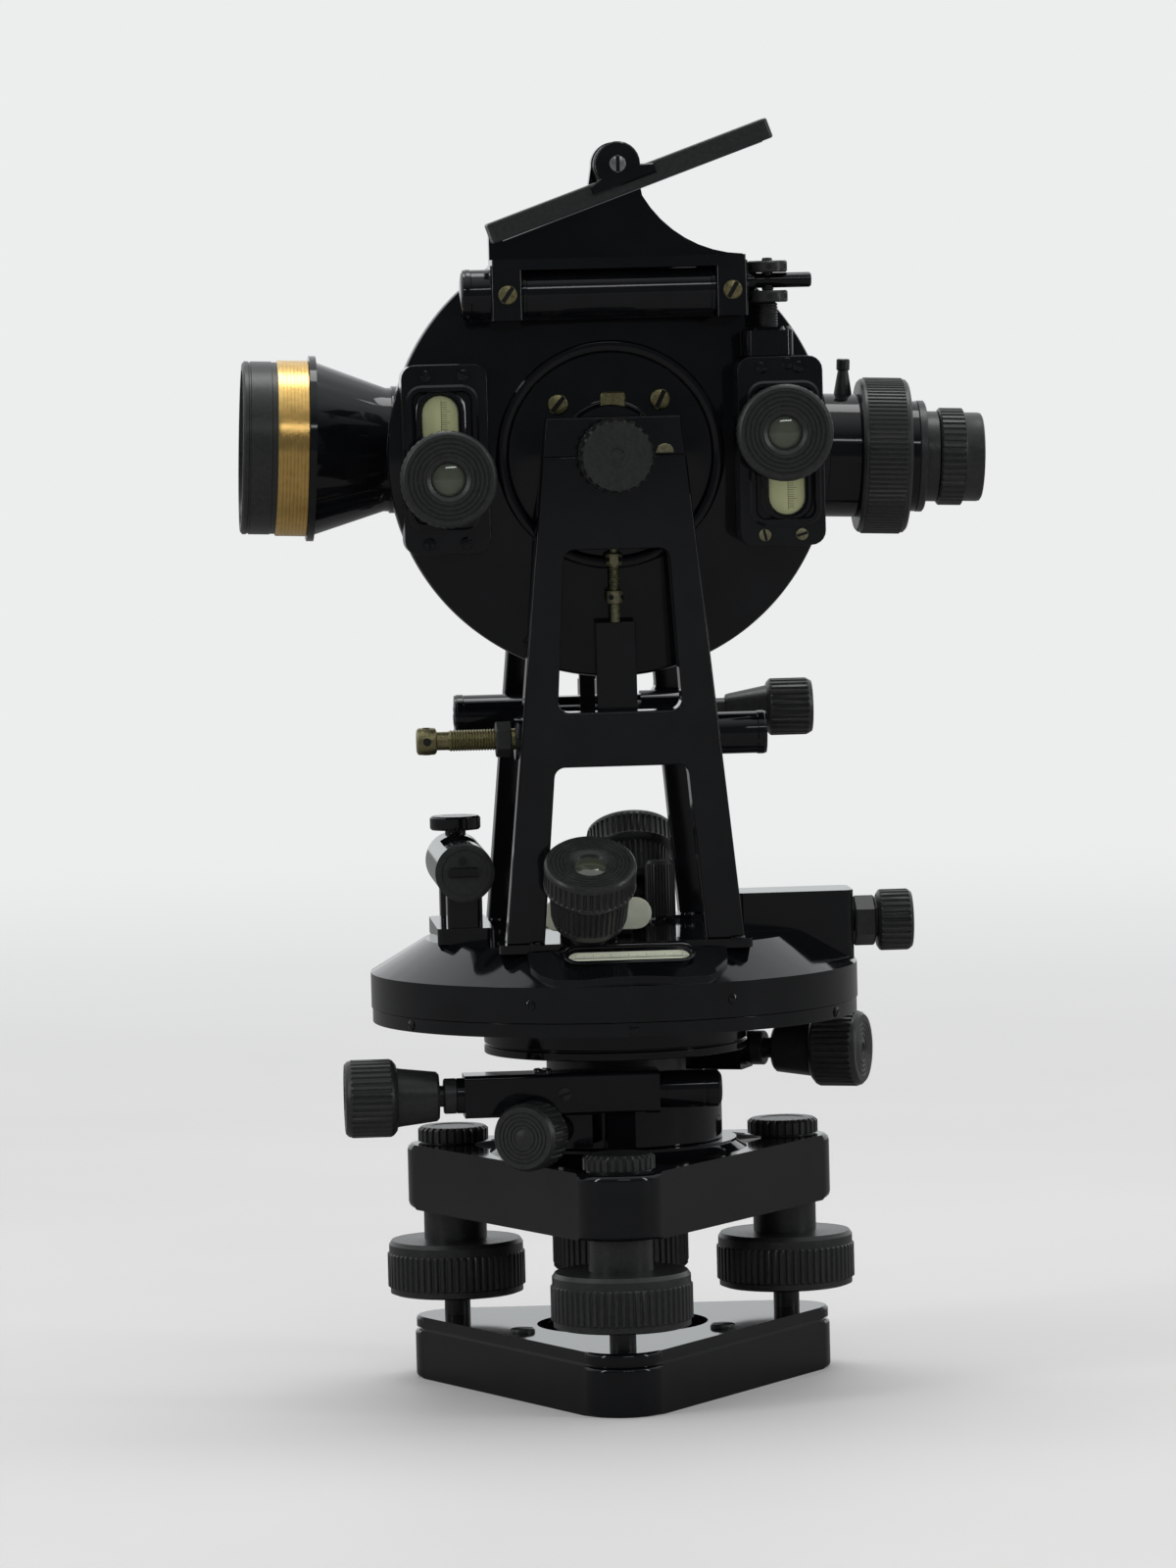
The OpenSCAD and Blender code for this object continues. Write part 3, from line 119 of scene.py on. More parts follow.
ENAMEL = material("enamel_black", (0.003, 0.0035, 0.004), 0.08, wear=0.25, grain=90, bump=0.03,
                  Specular_IOR_Level=0.4)
SATIN = material("satin_black", (0.015, 0.0165, 0.0155), 0.34, wear=0.25, grain=900, bump=0.1,
                 Specular_IOR_Level=0.45)
STEEL = material("turned_steel", (0.42, 0.42, 0.43), 0.3, metallic=1.0, wear=0.12, grain=700)
BRONZE = material("aged_bronze", (0.34, 0.32, 0.2), 0.42, metallic=1.0, wear=0.35, grain=1300, bump=0.12)
BRASS = material("lacquered_brass", (0.84, 0.56, 0.19), 0.24, metallic=1.0, wear=0.1, grain=500, bump=0.03)
DARK_BRASS = material("worn_brass", (0.28, 0.25, 0.13), 0.38, metallic=1.0, wear=0.35, grain=1500, bump=0.12)
SILVER = material("silvered_scale", (0.7, 0.7, 0.67), 0.34, metallic=0.9, wear=0.06, grain=1200)
OPAL = material("opal_glass", (0.42, 0.43, 0.23), 0.3, coat=0.3, wear=0.06, grain=260,
                Subsurface_Weight=0.25, Subsurface_Radius=(0.004, 0.004, 0.003))
CREAM = material("cream_glass", (0.74, 0.77, 0.6), 0.3, coat=0.3, wear=0.06, grain=260)
VIAL = material("spirit_vial", (0.72, 0.76, 0.56), 0.08, coat=0.8, wear=0.05, grain=300,
                Transmission_Weight=0.55, IOR=1.45)
GLASS = material("coated_glass", (0.55, 0.62, 0.62), 0.05, coat=1.0, wear=0.04, grain=200,
                 Transmission_Weight=0.75, IOR=1.5)
# Eyepiece glass drawn opaque: its dark colour is painted shade of the unlit tube behind the lens; its gloss
# is its own
SHADED_EYE_GLASS = material("eyepiece_glass_painted_shade", (0.05, 0.058, 0.04), 0.05, coat=1.0, wear=0.1, grain=200)
MIRROR = material("silvered_mirror", (0.8, 0.82, 0.82), 0.05, metallic=1.0, wear=0.04, grain=300)
INK = material("engraved_ink", (0.01, 0.01, 0.011), 0.6, wear=0.2, grain=2000)
# Painted shade: a near black put on the floors of slots, and on holes and notches that are not cut, in place
# of the shadow inside them
PAINTED_SHADE = material("painted_recess_shade", (0.003, 0.003, 0.003), 0.7, wear=0.2, grain=900)


# Places, as in the CAD source
Y, Z = 1, 2  # axes of a box's corners


def shift(x, y, z):
    return Matrix.Translation((x, y, z))


def turn(angle, axis):
    """A turn about X, Y or Z, in degrees."""
    return Matrix.Rotation(math.radians(angle), 4, axis)


def centre(node, axis):
    """Middle of a CAD node's box along one axis, in millimetres."""
    low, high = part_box(node)
    return (low[axis] + high[axis]) / 2 / MM


def extent(node, axis):
    """Both ends of a CAD node's box along one axis, in millimetres."""
    low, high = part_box(node)
    return low[axis] / MM, high[axis] / MM


def bottom(node):
    return extent(node, Z)[0]


def top(node):
    return extent(node, Z)[1]


UPRIGHT = Matrix()
ALONG_X = turn(90, "Y")
FRONT = turn(90, "X")
BACK = turn(-90, "X")
HEAD_TURN = -4.3  # degrees by which the levelling head stands turned from the standards
FOOT_REACH = 55.3  # from the main axis to each foot screw
SIGHT_TILT = 2.2  # degrees by which the telescope points up at rest
TRUNNION_Z = centre("trunnion_axle", Z)
PLATE_Z = bottom("plate_level_case")  # top of the plate cover
COVER_R, SLOPE_RISE, SLOPE_RUN = 69.7, 9.3, 15.7  # rim and slope of the plate cover
STANDARD_Y, STANDARD_OUT, STANDARD_IN = 44, 48.5, 39.5  # middle, outer and inner face of a standard
CROSSBAR_Y = 34.0  # from the main axis to the screws in the crossbars
INDEX_FACE = 34  # front of the index cover, in front of the main axis
HOUSING_X = 47  # from the trunnion to each microscope housing
EYE_OFFSET = 5.3  # of a microscope's eyepiece from the trunnion's height: the right one up, the left down
WINDOW_OFFSET = (1.3, 10.3)  # of its window from its housing's middle: outwards, and away from the eyepiece
INDEX_TOP = (2.5, -43)  # across and in front: the altitude level and the mirror above it
LEVEL_RISE, MIRROR_RISE = 45.4, 81  # their axes above the trunnion
MIRROR_TILT = 19.5  # degrees at rest
TUBE_R = 17.5  # of the telescope's tube
SIGHT = shift(0, 0, TRUNNION_Z) @ turn(SIGHT_TILT, "Y") @ ALONG_X


def at_foot(i):
    """On the axis of foot screw i, with X pointing outwards."""
    return turn(HEAD_TURN - 90 + 120 * i, "Z") @ shift(FOOT_REACH, 0, 0)


# Mesh building
class Piece:
    """Collects shapes in millimetres, then makes one object of them."""

    def __init__(self):
        self.points, self.faces, self.looks = [], [], []
        self.materials = []

    def add(self, points, faces, at, look):
        """Take in points and faces, moved to their place."""
        if look not in self.materials:
            self.materials.append(look)
        base = len(self.points)
        self.points += [at @ Vector(p) for p in points]
        self.faces += [[base + i for i in f] for f in faces]
        self.looks += [self.materials.index(look)] * len(faces)

    def loft(self, sections, look, at=UPRIGHT):
        """Skin over closed outlines that have the same number of points, with both ends closed."""
        n = len(sections[0])
        points = [p for s in sections for p in s]
        faces = [[k * n + i, k * n + (i + 1) % n, (k + 1) * n + (i + 1) % n, (k + 1) * n + i]
                 for k in range(len(sections) - 1) for i in range(n)]
        faces += [list(range(n))[::-1], [(len(sections) - 1) * n + i for i in range(n)]]
        self.add(points, faces, at, look)

    def prism(self, outline, low, high, look, at=UPRIGHT, edge=0.0):
        """An outline drawn out along Z, with its two ends drawn in by edge."""
        levels = ([(low, edge), (low + edge, 0), (high - edge, 0), (high, edge)] if edge
                  else [(low, 0), (high, 0)])
        self.loft([[(*p, z) for p in inset(outline, e)] for z, e in levels], look, at)

    def lathe(self, profile, look, at=UPRIGHT, ribs=0, depth=0.4, n=72, wave=(0, 0, 0, 1, 1)):
        """Turned shape. A third value of 1 in a profile point cuts the ribs' grooves there; a closed loop
        has no point on the axis."""
        n = ribs * len(wave) if ribs else n
        open_ends = profile[0][0] == 0 or profile[-1][0] == 0
        points, faces, rings = [], [], []
        for p in profile:
            cut = depth if len(p) > 2 else 0
            if p[0] == 0:
                rings.append([len(points)] * n)
                points.append((0, 0, p[1]))
                continue
            rings.append(list(range(len(points), len(points) + n)))
            for i in range(n):
                a = 2 * math.pi * i / n
                r = p[0] - cut * wave[i % len(wave)]
                points.append((r * math.cos(a), r * math.sin(a), p[1]))
        pairs = list(zip(rings, rings[1:])) + ([] if open_ends else [(rings[-1], rings[0])])
        for low, high in pairs:
            for i in range(n):
                j = (i + 1) % n
                quad = [low[i], low[j], high[j], high[i]]
                face = [v for k, v in enumerate(quad) if v not in quad[:k]]
                if len(face) > 2:
                    faces.append(face)
        self.add(points, faces, at, look)

    def make(self, name, body, replaces=(), bevel=0.0, sharp=SMOOTH_ANGLE):
        """The finished object, on its body."""
        mesh = bpy.data.meshes.new(name)
        mesh.from_pydata([p * MM for p in self.points], [], self.faces)
        for look in self.materials:
            mesh.materials.append(look)
        mesh.polygons.foreach_set("material_index", self.looks)
        return finish_piece(name, mesh, body, replaces, bevel, sharp)


def add_object(name, data):
    made = bpy.data.objects.new(name, data)
    bpy.context.scene.collection.objects.link(made)
    return made


def finish_piece(name, mesh, body, replaces=(), bevel=0.0, sharp=SMOOTH_ANGLE):
    """Clean the mesh, soften its edges and put it on its body."""
    work = bmesh.new()
    work.from_mesh(mesh)
    bmesh.ops.recalc_face_normals(work, faces=work.faces)
    work.to_mesh(mesh)
    work.free()
    mesh.shade_smooth()
    mesh.set_sharp_from_angle(angle=math.radians(sharp))
    made = add_object(name, mesh)
    if bevel:
        soften = made.modifiers.new("edges", "BEVEL")
        soften.width = bevel * MM
        soften.segments = 3
        soften.limit_method = "ANGLE"
        soften.angle_limit = math.radians(sharp)
        soften.harden_normals = True
        soften.miter_outer = "MITER_ARC"
    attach(made, body)
    if replaces:
        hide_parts(*replaces)
    return made


def outline_edges(work, z):
    """The edges at height z that bound the shape as seen from above."""
    level = [v for v in work.verts if abs(v.co.z - z * MM) < PLANE_TOLERANCE]
    hull = convex_hull_2d([v.co.xy for v in level])
    found = [work.edges.get((level[a], level[b])) for a, b in zip(hull, hull[1:] + hull[:1])]
    return [e for e in found if e]


def face_edges(work, y):
    """The edges round the flat faces that stand at depth y."""
    return [e for e in work.edges
            if len(e.link_faces) == 2 and e.is_convex and e.calc_face_angle(0) > CORNER_ANGLE
            and all(abs(v.co.y - y * MM) < PLANE_TOLERANCE for v in e.verts)]


def casting(node, look=ENAMEL, bevel=0.6, sharp=SMOOTH_ANGLE, rims=(), faces=(), soft=0.0):
    """A CAD node with rounded edges: by soft round the rims at the heights named and the faces at the depths
    named, and by bevel elsewhere."""
    source = cad_nodes[node]
    mesh = source.data.copy()
    work = bmesh.new()
    work.from_mesh(mesh)
    bmesh.ops.remove_doubles(work, verts=work.verts, dist=MERGE_DISTANCE)
    bmesh.ops.dissolve_limit(work, angle_limit=FLAT_ANGLE, verts=work.verts, edges=work.edges)
    chosen = ([e for z in rims for e in outline_edges(work, z)]
              + [e for y in faces for e in face_edges(work, y)])
    if chosen:
        bmesh.ops.bevel(work, geom=chosen, offset=soft * MM, segments=3, profile=0.5, affect="EDGES",
                        clamp_overlap=False, loop_slide=True)
    work.to_mesh(mesh)
    work.free()
    mesh.materials.clear()
    mesh.materials.append(look)
    made = finish_piece(node + "_finished", mesh, source["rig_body"], [node], bevel, sharp)
    flat = made.modifiers.new("flat_faces", "WEIGHTED_NORMAL")
    flat.keep_sharp = True
    return made


def inset(outline, by):
    """Outline with each point moved inwards, for a convex shape round its own middle."""
    if not by:
        return outline
    cx = sum(p[0] for p in outline) / len(outline)
    cy = sum(p[1] for p in outline) / len(outline)
    out = []
    for i, p in enumerate(outline):
        a, b = outline[i - 1], outline[(i + 1) % len(outline)]
        along = Vector((b[0] - a[0], b[1] - a[1])).normalized()
        inward = Vector((-along.y, along.x))
        if inward.dot(Vector((cx - p[0], cy - p[1]))) < 0:
            inward = -inward
        out.append((p[0] + inward.x * by, p[1] + inward.y * by))
    return out


def arc(r, start, end, steps, x=0.0, y=0.0):
    """Points on an arc round (x, y) from start to end, in degrees."""
    return [(x + r * math.cos(math.radians(start + (end - start) * i / steps)),
             y + r * math.sin(math.radians(start + (end - start) * i / steps))) for i in range(steps + 1)]


def rounded_box(w, h, r, steps=5):
    """Outline of a box round the origin, w by h, with corners of radius r."""
    return (arc(r, 0, 90, steps, w / 2 - r, h / 2 - r) + arc(r, 90, 180, steps, r - w / 2, h / 2 - r)
            + arc(r, 180, 270, steps, r - w / 2, r - h / 2) + arc(r, 270, 360, steps, w / 2 - r, r - h / 2))


def hexagon(r):
    return [(r * math.cos(math.radians(a)), r * math.sin(math.radians(a))) for a in range(0, 360, 60)]


def frame_ring(piece, w, h, r, wall, height, look, at):
    """A raised border of rounded box shape, open in the middle."""
    outer, inner = rounded_box(w, h, r), rounded_box(w - 2 * wall, h - 2 * wall, max(r - wall, 0.3))
    n = len(outer)
    levels = [outer, [(*p, height * 0.6) for p in outer], [(*p, height) for p in inset(outer, wall * 0.3)],
              [(*p, height) for p in inset(inner, -wall * 0.2)], [(*p, height * 0.5) for p in inner], inner]
    rings = [[p if len(p) == 3 else (*p, 0) for p in level] for level in levels]
    points = [p for level in rings for p in level]
    count = len(levels)
    faces = [[k * n + i, k * n + (i + 1) % n, (k + 1) % count * n + (i + 1) % n, (k + 1) % count * n + i]
             for k in range(count) for i in range(n)]
    piece.add(points, faces, at, look)


def slotted_head(piece, r, h, at, look=BRONZE, angle=35.0, slot=None, depth=None):
    """A turned screw head with a driver slot: two half rounds on a disc, and a thin disc of painted shade as
    the slot's floor.
    """
    slot = slot or max(0.22 * r, 0.35)
    depth = depth or 0.5 * h
    edge = 0.18 * r
    at = at @ turn(angle, "Z")
    piece.lathe([(0, 0), (r, 0), (r, h - depth), (0, h - depth)], look, at, n=32)
    # painted shade: a thin dark disc on the floor of the slot
    piece.lathe([(0, h - depth + 0.02), (r * 0.93, h - depth + 0.02), (0, h - depth + 0.03)], PAINTED_SHADE, at, n=32)
    for side in (1, -1):
        sections = []
        for radius, z in ((r, 0), (r, h - edge), (r - edge * 0.4, h - edge * 0.3), (r - edge, h)):
            low = math.degrees(math.asin(min(slot / radius, 0.95)))
            sections.append([(side * x, side * y, z) for x, y in arc(radius, low, 180 - low, 14)])
        piece.loft(sections, look, at)


def pin_hole(piece, r, low, high, at, n=24):
    """A hole for a tommy bar, not cut: a disc of painted shade that stands just proud of a round head."""
    piece.lathe([(0, low), (r, low), (r, high), (0, high + 0.01)], PAINTED_SHADE, at, n=n)


def domed_lens(piece, r, z, at):
    piece.lathe([(0, z), (r, z), (3.4, z + 0.4), (1.8, z + 0.7), (0, z + 0.8)], SHADED_EYE_GLASS, at, n=40)


def threaded(r, low, high, pitch, deep):
    """Profile of a screw thread."""
    points, z = [], low
    while z + pitch < high:
        points += [(r - deep, z), (r, z + pitch * 0.35), (r, z + pitch * 0.55), (r - deep, z + pitch * 0.9)]
        z += pitch
    return points


def rings_face(r_out, r_in, z, step=1.1, deep=0.35):
    """Profile of turned rings on a flat face, from the rim inwards."""
    points, r = [], r_out
    while r - step > r_in:
        points += [(r, z), (r - step * 0.45, z), (r - step * 0.6, z - deep), (r - step * 0.85, z - deep)]
        r -= step
    return points


# Levelling head
BASE_THICKNESS = 14
casting("base_plate", bevel=0, rims=(0, BASE_THICKNESS), soft=1.2)
casting("spring_plate", bevel=0, rims=(top("spring_plate"),), soft=1.0)
BASE_SCREW_REACH = 33
screw_z, spring_z = bottom("base_screws"), top("spring_plate")
screws = Piece()
for i in range(3):
    place = turn(60, "Z") @ at_foot(i) @ shift(BASE_SCREW_REACH - FOOT_REACH, 0, 0)
    screws.lathe([(0, screw_z), (2, screw_z), (2, spring_z), (0, spring_z)], BRONZE, place, n=24)
    slotted_head(screws, 3.6, 1.2, place @ shift(0, 0, spring_z), SATIN, 20 + 70 * i)
screws.make("base_plate_screws", "base", ["base_screws"])
TRIPOD_THREAD_R, CREST_R, TRIPOD_PITCH = 24.7, 23.9, 1.5
thread = Piece()
for k in range(9):
    low = 0.8 + TRIPOD_PITCH * k
    thread.lathe([(TRIPOD_THREAD_R, low), (CREST_R, low + 0.5), (CREST_R, low + 0.65),
                  (TRIPOD_THREAD_R, low + 1.15)], SATIN)
thread.make("tripod_thread_crests", "base")

wheel_low, wheel_high = 24.2, 40.0
for i, side in enumerate(("front", "right", "left")):
    node = "foot_screw_" + side
    low, high = extent(node, Z)
    foot = Piece()
    foot.lathe([(0, low), (2.6, low + 0.75), (4.4, low + 2.6), (5, low + 5), (4.4, low + 7.4),
                (3.75, low + 8.4), (3.75, wheel_low - 2), (4.6, wheel_low - 1.6), (4.6, wheel_low - 0.6),
                (8, wheel_low), (18, wheel_low), (19.3, wheel_low + 0.5), (19.3, wheel_low + 2.1),
                (20, wheel_low + 2.5, 1), (20, wheel_high - 3.9, 1), (19.5, wheel_high - 3.5),
                (19.5, wheel_high - 1.2), (18.7, wheel_high), (10, wheel_high), (9.1, wheel_high + 0.2),
                (9.1, 52.9), (6, 52.9), (6, high), (0, high)], SATIN, at_foot(i), ribs=60, depth=0.55)
    foot.make(node + "_turned", node, [node])

cap_z = bottom("foot_caps")
cap_h = top("foot_caps") - cap_z
arms_low = wheel_high + 9.4
casting("tribrach", bevel=0, rims=(arms_low, cap_z), soft=2.0)
caps = Piece()
for i in range(3):
    place = at_foot(i) @ shift(0, 0, cap_z)
    caps.lathe([(0, 0), (9.2, 0), (9.2, 0.3), (10.2, 0.5, 1), (10.2, cap_h - 0.8, 1), (9.6, cap_h - 0.3, 1),
                (9.1, cap_h), (6.6, cap_h), (6.3, cap_h - 0.2), (0, cap_h - 0.2)], SATIN, place,
               ribs=28, depth=0.6, wave=(0, 0, 0, 0, 1, 1))
caps.make("foot_screw_caps", "tribrach", ["foot_caps"])
webs = Piece()
for i in range(3):
    for side in (-4.5, 4.5):
        place = at_foot(i) @ shift(-FOOT_REACH, side, cap_z)
        webs.loft([[(31, -0.9, -0.4), (31, 0.9, -0.4), (31, 0.5, 2.3), (31, -0.5, 2.3)],
                   [(36, -0.9, -0.4), (36, 0.9, -0.4), (36, 0.5, 1.9), (36, -0.5, 1.9)],
                   [(45, -0.9, -0.4), (45, 0.9, -0.4), (45, 0.5, 0.5), (45, -0.5, 0.5)]], ENAMEL, place)
webs.lathe([(33, cap_z - 0.3), (37.5, cap_z - 0.3), (36, cap_z + 0.5), (34.3, cap_z + 1.6),
            (33.7, cap_z + 2.5), (33, cap_z + 2.6)], ENAMEL)
webs.make("tribrach_webs", "tribrach", bevel=0.25)
nut_z, nut_top = extent("centre_nut", Z)
nut = Piece()
nut.lathe([(14.05, nut_z), (18.5, nut_z), (19.3, nut_z + 0.8), (19.3, nut_z + 1.8), (19.5, nut_z + 1.9, 1),
           (19.5, nut_top - 1.9, 1), (19.3, nut_top - 1.8), (19.3, nut_top - 0.8), (18.5, nut_top),
           (14.05, nut_top)], SATIN, ribs=56, depth=0.55)
nut.make("centre_nut_ribbed", "centre_nut", ["centre_nut"])

# Lower clamp and tangent screw
casting("lower_clamp_arm", bevel=0.5)
tangent_z = centre("lower_tangent_screw", Z)
at_tangent = turn(-90, "Z") @ shift(36, -2, tangent_z) @ FRONT
CLAMP_TURN, CLAMP_REACH = 68, 47
LOCK_TURN, LOCK_REACH = 242, 30
clamp_z = centre("lower_clamp_screw", Z)
at_clamp = turn(CLAMP_TURN, "Z") @ shift(CLAMP_REACH, 0, clamp_z) @ FRONT
lock_z = centre("lower_lock_screw", Z)
at_lock = turn(LOCK_TURN, "Z") @ shift(LOCK_REACH, 0, lock_z) @ ALONG_X


def long_knob(tip, neck):
    """Profile of a tangent screw: spindle, sleeve and ribbed knob."""
    knob, end = neck + 12, neck + 26.5
    return ([(0, tip), (3, tip), (3, neck), (6.3, neck), (7, neck + 0.7), (8.2, knob - 1), (8.4, knob - 0.2),
             (9.4, knob), (10.6, knob + 1), (10.85, knob + 1.6), (11, knob + 1.8, 1), (11, end - 1.9, 1),
             (10.8, end - 1.6), (10.6, end - 0.8), (9.8, end)]
            + rings_face(8.6, 2.5, end, 1.4, 0.25) + [(1.8, end), (1.4, end - 0.6), (0, end - 0.6)])


knob = Piece()
knob.lathe(long_knob(0.6, 51), SATIN, at_tangent, ribs=36, depth=0.5)
knob.make("lower_tangent_knob", "lower_tangent_screw", ["lower_tangent_screw"])
knob = Piece()
knob.lathe(long_knob(-10, 34), SATIN, at_clamp, ribs=36, depth=0.5)
knob.make("lower_clamp_knob", "lower_clamp_screw", ["lower_clamp_screw"])
knob = Piece()
knob.lathe([(0, -8), (3, -8), (3, 24.6), (5.5, 24.6), (5.5, 25), (8.6, 25), (9.4, 26), (9.6, 26.4, 1),
            (9.6, 34.2, 1), (9.4, 34.7), (8.7, 36)]
           + rings_face(7.9, 1.8, 36, 1.15, 0.3) + [(1.2, 36), (0, 36)],
           SATIN, at_lock, ribs=30, depth=0.55)
knob.make("lock_knob", "lower_lock_screw", ["lower_lock_screw"])

fittings = Piece()
fittings.lathe([(5.2, -28), (5.3, -27.7), (5.3, -24.6), (5.15, -24.4), (5.15, -23.9), (5.3, -23.7),
                (5.3, -13), (5.2, -12.9), (5.1, -13), (5.1, -28)], ENAMEL, at_tangent)
slotted_head(fittings, 4.6, 0.9, at_tangent @ shift(0, 0, -28) @ turn(180, "X"), SATIN, 80)
for low, place in ((46, at_tangent), (27, at_clamp)):
    fittings.lathe([(3.1, low), (4.6, low), (5.0, low + 0.3), (5.0, low + 3.4), (4.7, low + 3.7),
                    (3.1, low + 3.7)], SATIN, place)
slotted_head(fittings, 2.6, 1.6, at_tangent @ shift(5.6, 6, 22) @ BACK, ENAMEL, 10)
slotted_head(fittings, 1.9, 0.5, at_tangent @ shift(6.5, 0, 16) @ ALONG_X, SATIN, 20)
fittings.make("lower_clamp_fittings", "lower_clamp")

# Limb
casting("limb_drum", bevel=0.25)
circle_top = top("horizontal_circle")
DIVISION_R = 63.45  # outer end of the circle's divisions
lines = Piece()
for k in range(360):
    long = 3.4 if k % 10 == 0 else 2.6 if k % 5 == 0 else 1.8
    lines.prism([(DIVISION_R - long, -0.06), (DIVISION_R, -0.06), (DIVISION_R, 0.06),
                 (DIVISION_R - long, 0.06)], circle_top, circle_top + LINE_HEIGHT, INK, turn(k, "Z"))
lines.make("horizontal_circle_divisions", "limb")

# Plate
casting("plate_cover", bevel=0.8, sharp=20)
casting("plate_bottom_ring", bevel=0.35)
cover_z = bottom("plate_cover")
slope_z = cover_z + 10
WINDOW_Y, SLOPE = 58.0, math.degrees(math.atan(SLOPE_RISE / SLOPE_RUN))


def at_window(side, height=1.5):
    """On the slope of the plate cover, in the middle of a vernier window; height is above the slope."""
    z = slope_z + (COVER_R - WINDOW_Y) * SLOPE_RISE / SLOPE_RUN
    return shift(0, side * WINDOW_Y, z) @ turn(-side * SLOPE, "X") @ shift(0, 0, height)


plate_fit = Piece()
for side in (-1, 1):
    frame_ring(plate_fit, 37, 8.8, 4.2, 1.3, 0.5, ENAMEL, at_window(side, 1.4))
    for s in (-1, 1):
        place = turn(side * 90, "Z") @ turn(s * 24, "Z") @ shift(COVER_R - 0.1, 0, cover_z + 5) @ ALONG_X
        slotted_head(plate_fit, 1.5, 0.5, place, ENAMEL, 30 + 40 * s)
        for foot_x in (-28.2, 28.2):
            place = shift(foot_x + s * 3.2, side * (STANDARD_Y + 5.2 * s), PLATE_Z + 1.2)
            slotted_head(plate_fit, 2.2, 1.0, place, ENAMEL, 15 * s + 40)
for k in range(6):
    place = turn(60 * k + 30, "Z") @ shift(COVER_R - 0.35, 0, cover_z - 2.2) @ ALONG_X
    slotted_head(plate_fit, 1.5, 0.5, place, ENAMEL, 25 * k)
plate_fit.make("plate_fittings", "alidade")
scale = Piece()
for side in (-1, 1):
    scale.prism([(-16.5, -0.12), (16.5, -0.12), (16.5, 0.12), (-16.5, 0.12)], 0, LINE_HEIGHT, INK,
                at_window(side, 0.2))
    for k in range(-30, 31):
        long = 1.7 if k % 10 == 0 else 1.3 if k % 5 == 0 else 0.8
        left, right, low, high = k * 0.5 - 0.05, k * 0.5 + 0.05, 0.1, 0.1 + long
        scale.prism([(left, low), (right, low), (right, high), (left, high)], 0, LINE_HEIGHT, INK,
                    at_window(side, 0.2))
scale.make("plate_window_lines", "alidade")

reflector = Piece()
place = shift(-6.7, -30, PLATE_Z + 7.9) @ FRONT
reflector.prism(rounded_box(31, 9, 4.4), -0.7, 0.7, CREAM, place, edge=0.2)
reflector.prism(rounded_box(20, 5.2, 0.6), -1.6, -0.6, ENAMEL, place @ shift(0, -5.4, 0), edge=0.2)
reflector.make("vernier_reflector", "alidade")

# Upper clamp
UPPER_CLAMP_X = 68.6
at_upper = shift(UPPER_CLAMP_X, 0, centre("upper_clamp_screw", Z)) @ ALONG_X
knob = Piece()
knob.lathe([(0, -12), (3, -12), (3, 1), (0, 1)], SATIN, at_upper, n=32)
knob.prism(hexagon(7.2), 0.6, 6.8, SATIN, at_upper, edge=0.5)
knob.lathe([(4, 6.7), (4.8, 6.8), (4.8, 7.5), (4, 7.6), (0, 7.6), (0, 6.7)], SATIN, at_upper, n=32)
knob.lathe([(0, 7.4), (7.6, 7.4), (8.6, 8.1), (8.8, 8.6, 1), (8.8, 16.0, 1), (8.6, 16.5), (7.9, 17.4)]
           + rings_face(7.2, 2, 17.4, 1.2, 0.25) + [(1.6, 17.4), (0, 17.4)],
           SATIN, at_upper, ribs=28, depth=0.6)
knob.make("upper_clamp_knob", "upper_clamp_screw", ["upper_clamp_screw"])

# Magnifiers
MAGNIFIER_X, MAGNIFIER_Y, MAGNIFIER_TILT = 10.5, 46, 57  # the tilt in degrees up from the plate
for side, name in ((-1, "near"), (1, "far")):
    place = shift(side * MAGNIFIER_X, side * MAGNIFIER_Y, PLATE_Z) @ turn(-side * (90 - MAGNIFIER_TILT), "X")
    eye = Piece()
    eye.lathe([(0, -3), (5.5, -3), (5.5, 9), (9.6, 9), (10, 9.3), (10.6, 11.2), (10.7, 11.5, 1),
               (11.3, 20, 1), (11.4, 20.3), (12.2, 20.7), (12.8, 21.6), (13, 22.2), (12.9, 22.6, 1),
               (12.9, 27.6, 1), (13, 28.2), (12.8, 29.2), (12.2, 29.8)]
              + rings_face(11.7, 5.4, 29.8, 1.1, 0.3) + [(5, 29), (4.5, 28.3), (0, 28.3)],
              SATIN, place, ribs=44, depth=0.45)
    domed_lens(eye, 4.4, 28.3, place)
    eye.make("magnifier_" + name + "_eyepiece", "magnifier_" + name, ["magnifier_" + name])
at_plate_post = shift(17, 38.5, PLATE_Z)
post = Piece()
post.lathe([(0, 0), (4, 0), (4, 1.2), (4.4, 1.5, 1), (4.4, 16.4, 1), (4.2, 16.8), (3.6, 17.6), (0, 17.8)],
           SATIN, at_plate_post, ribs=30, depth=0.3)
post.lathe([(0, -0.5), (6.2, -0.5), (6.2, 0.6), (5.4, 1.2), (0, 1.2)], ENAMEL, at_plate_post, n=40)
post.make("plate_post", "alidade")

# Plate level
PLATE_LEVEL_X, PLATE_LEVEL_RISE = -43.5, 20.4  # its axis, the second above the plate
plate_level_z = PLATE_Z + PLATE_LEVEL_RISE
near_end, far_end = extent("plate_level_case", Y)
casting("plate_level_case", bevel=0.35)
ends = Piece()
for y, flip in ((near_end, 0), (far_end, 180)):
    place = shift(PLATE_LEVEL_X, y, plate_level_z) @ turn(flip, "Z") @ FRONT
    ends.lathe([(0, -0.1), (8.3, -0.1), (8.4, 0.2), (7.6, 0.5), (6.6, 0.5), (6.4, 0.25), (0, 0.25)],
               SATIN, place, n=64)
    ends.prism(rounded_box(8.6, 2.6, 0.5), 0.2, 1.6, ENAMEL, place @ shift(-0.4, 0.2, 0), edge=0.2)
    # a small disc of painted shade in place of a hole at the level's end
    ends.lathe([(0, 0.2), (1.1, 0.2), (1.1, 0.9), (0.8, 0.95), (0, 0.95)], PAINTED_SHADE,
               place @ shift(-0.5, 3.4, 0), n=24)
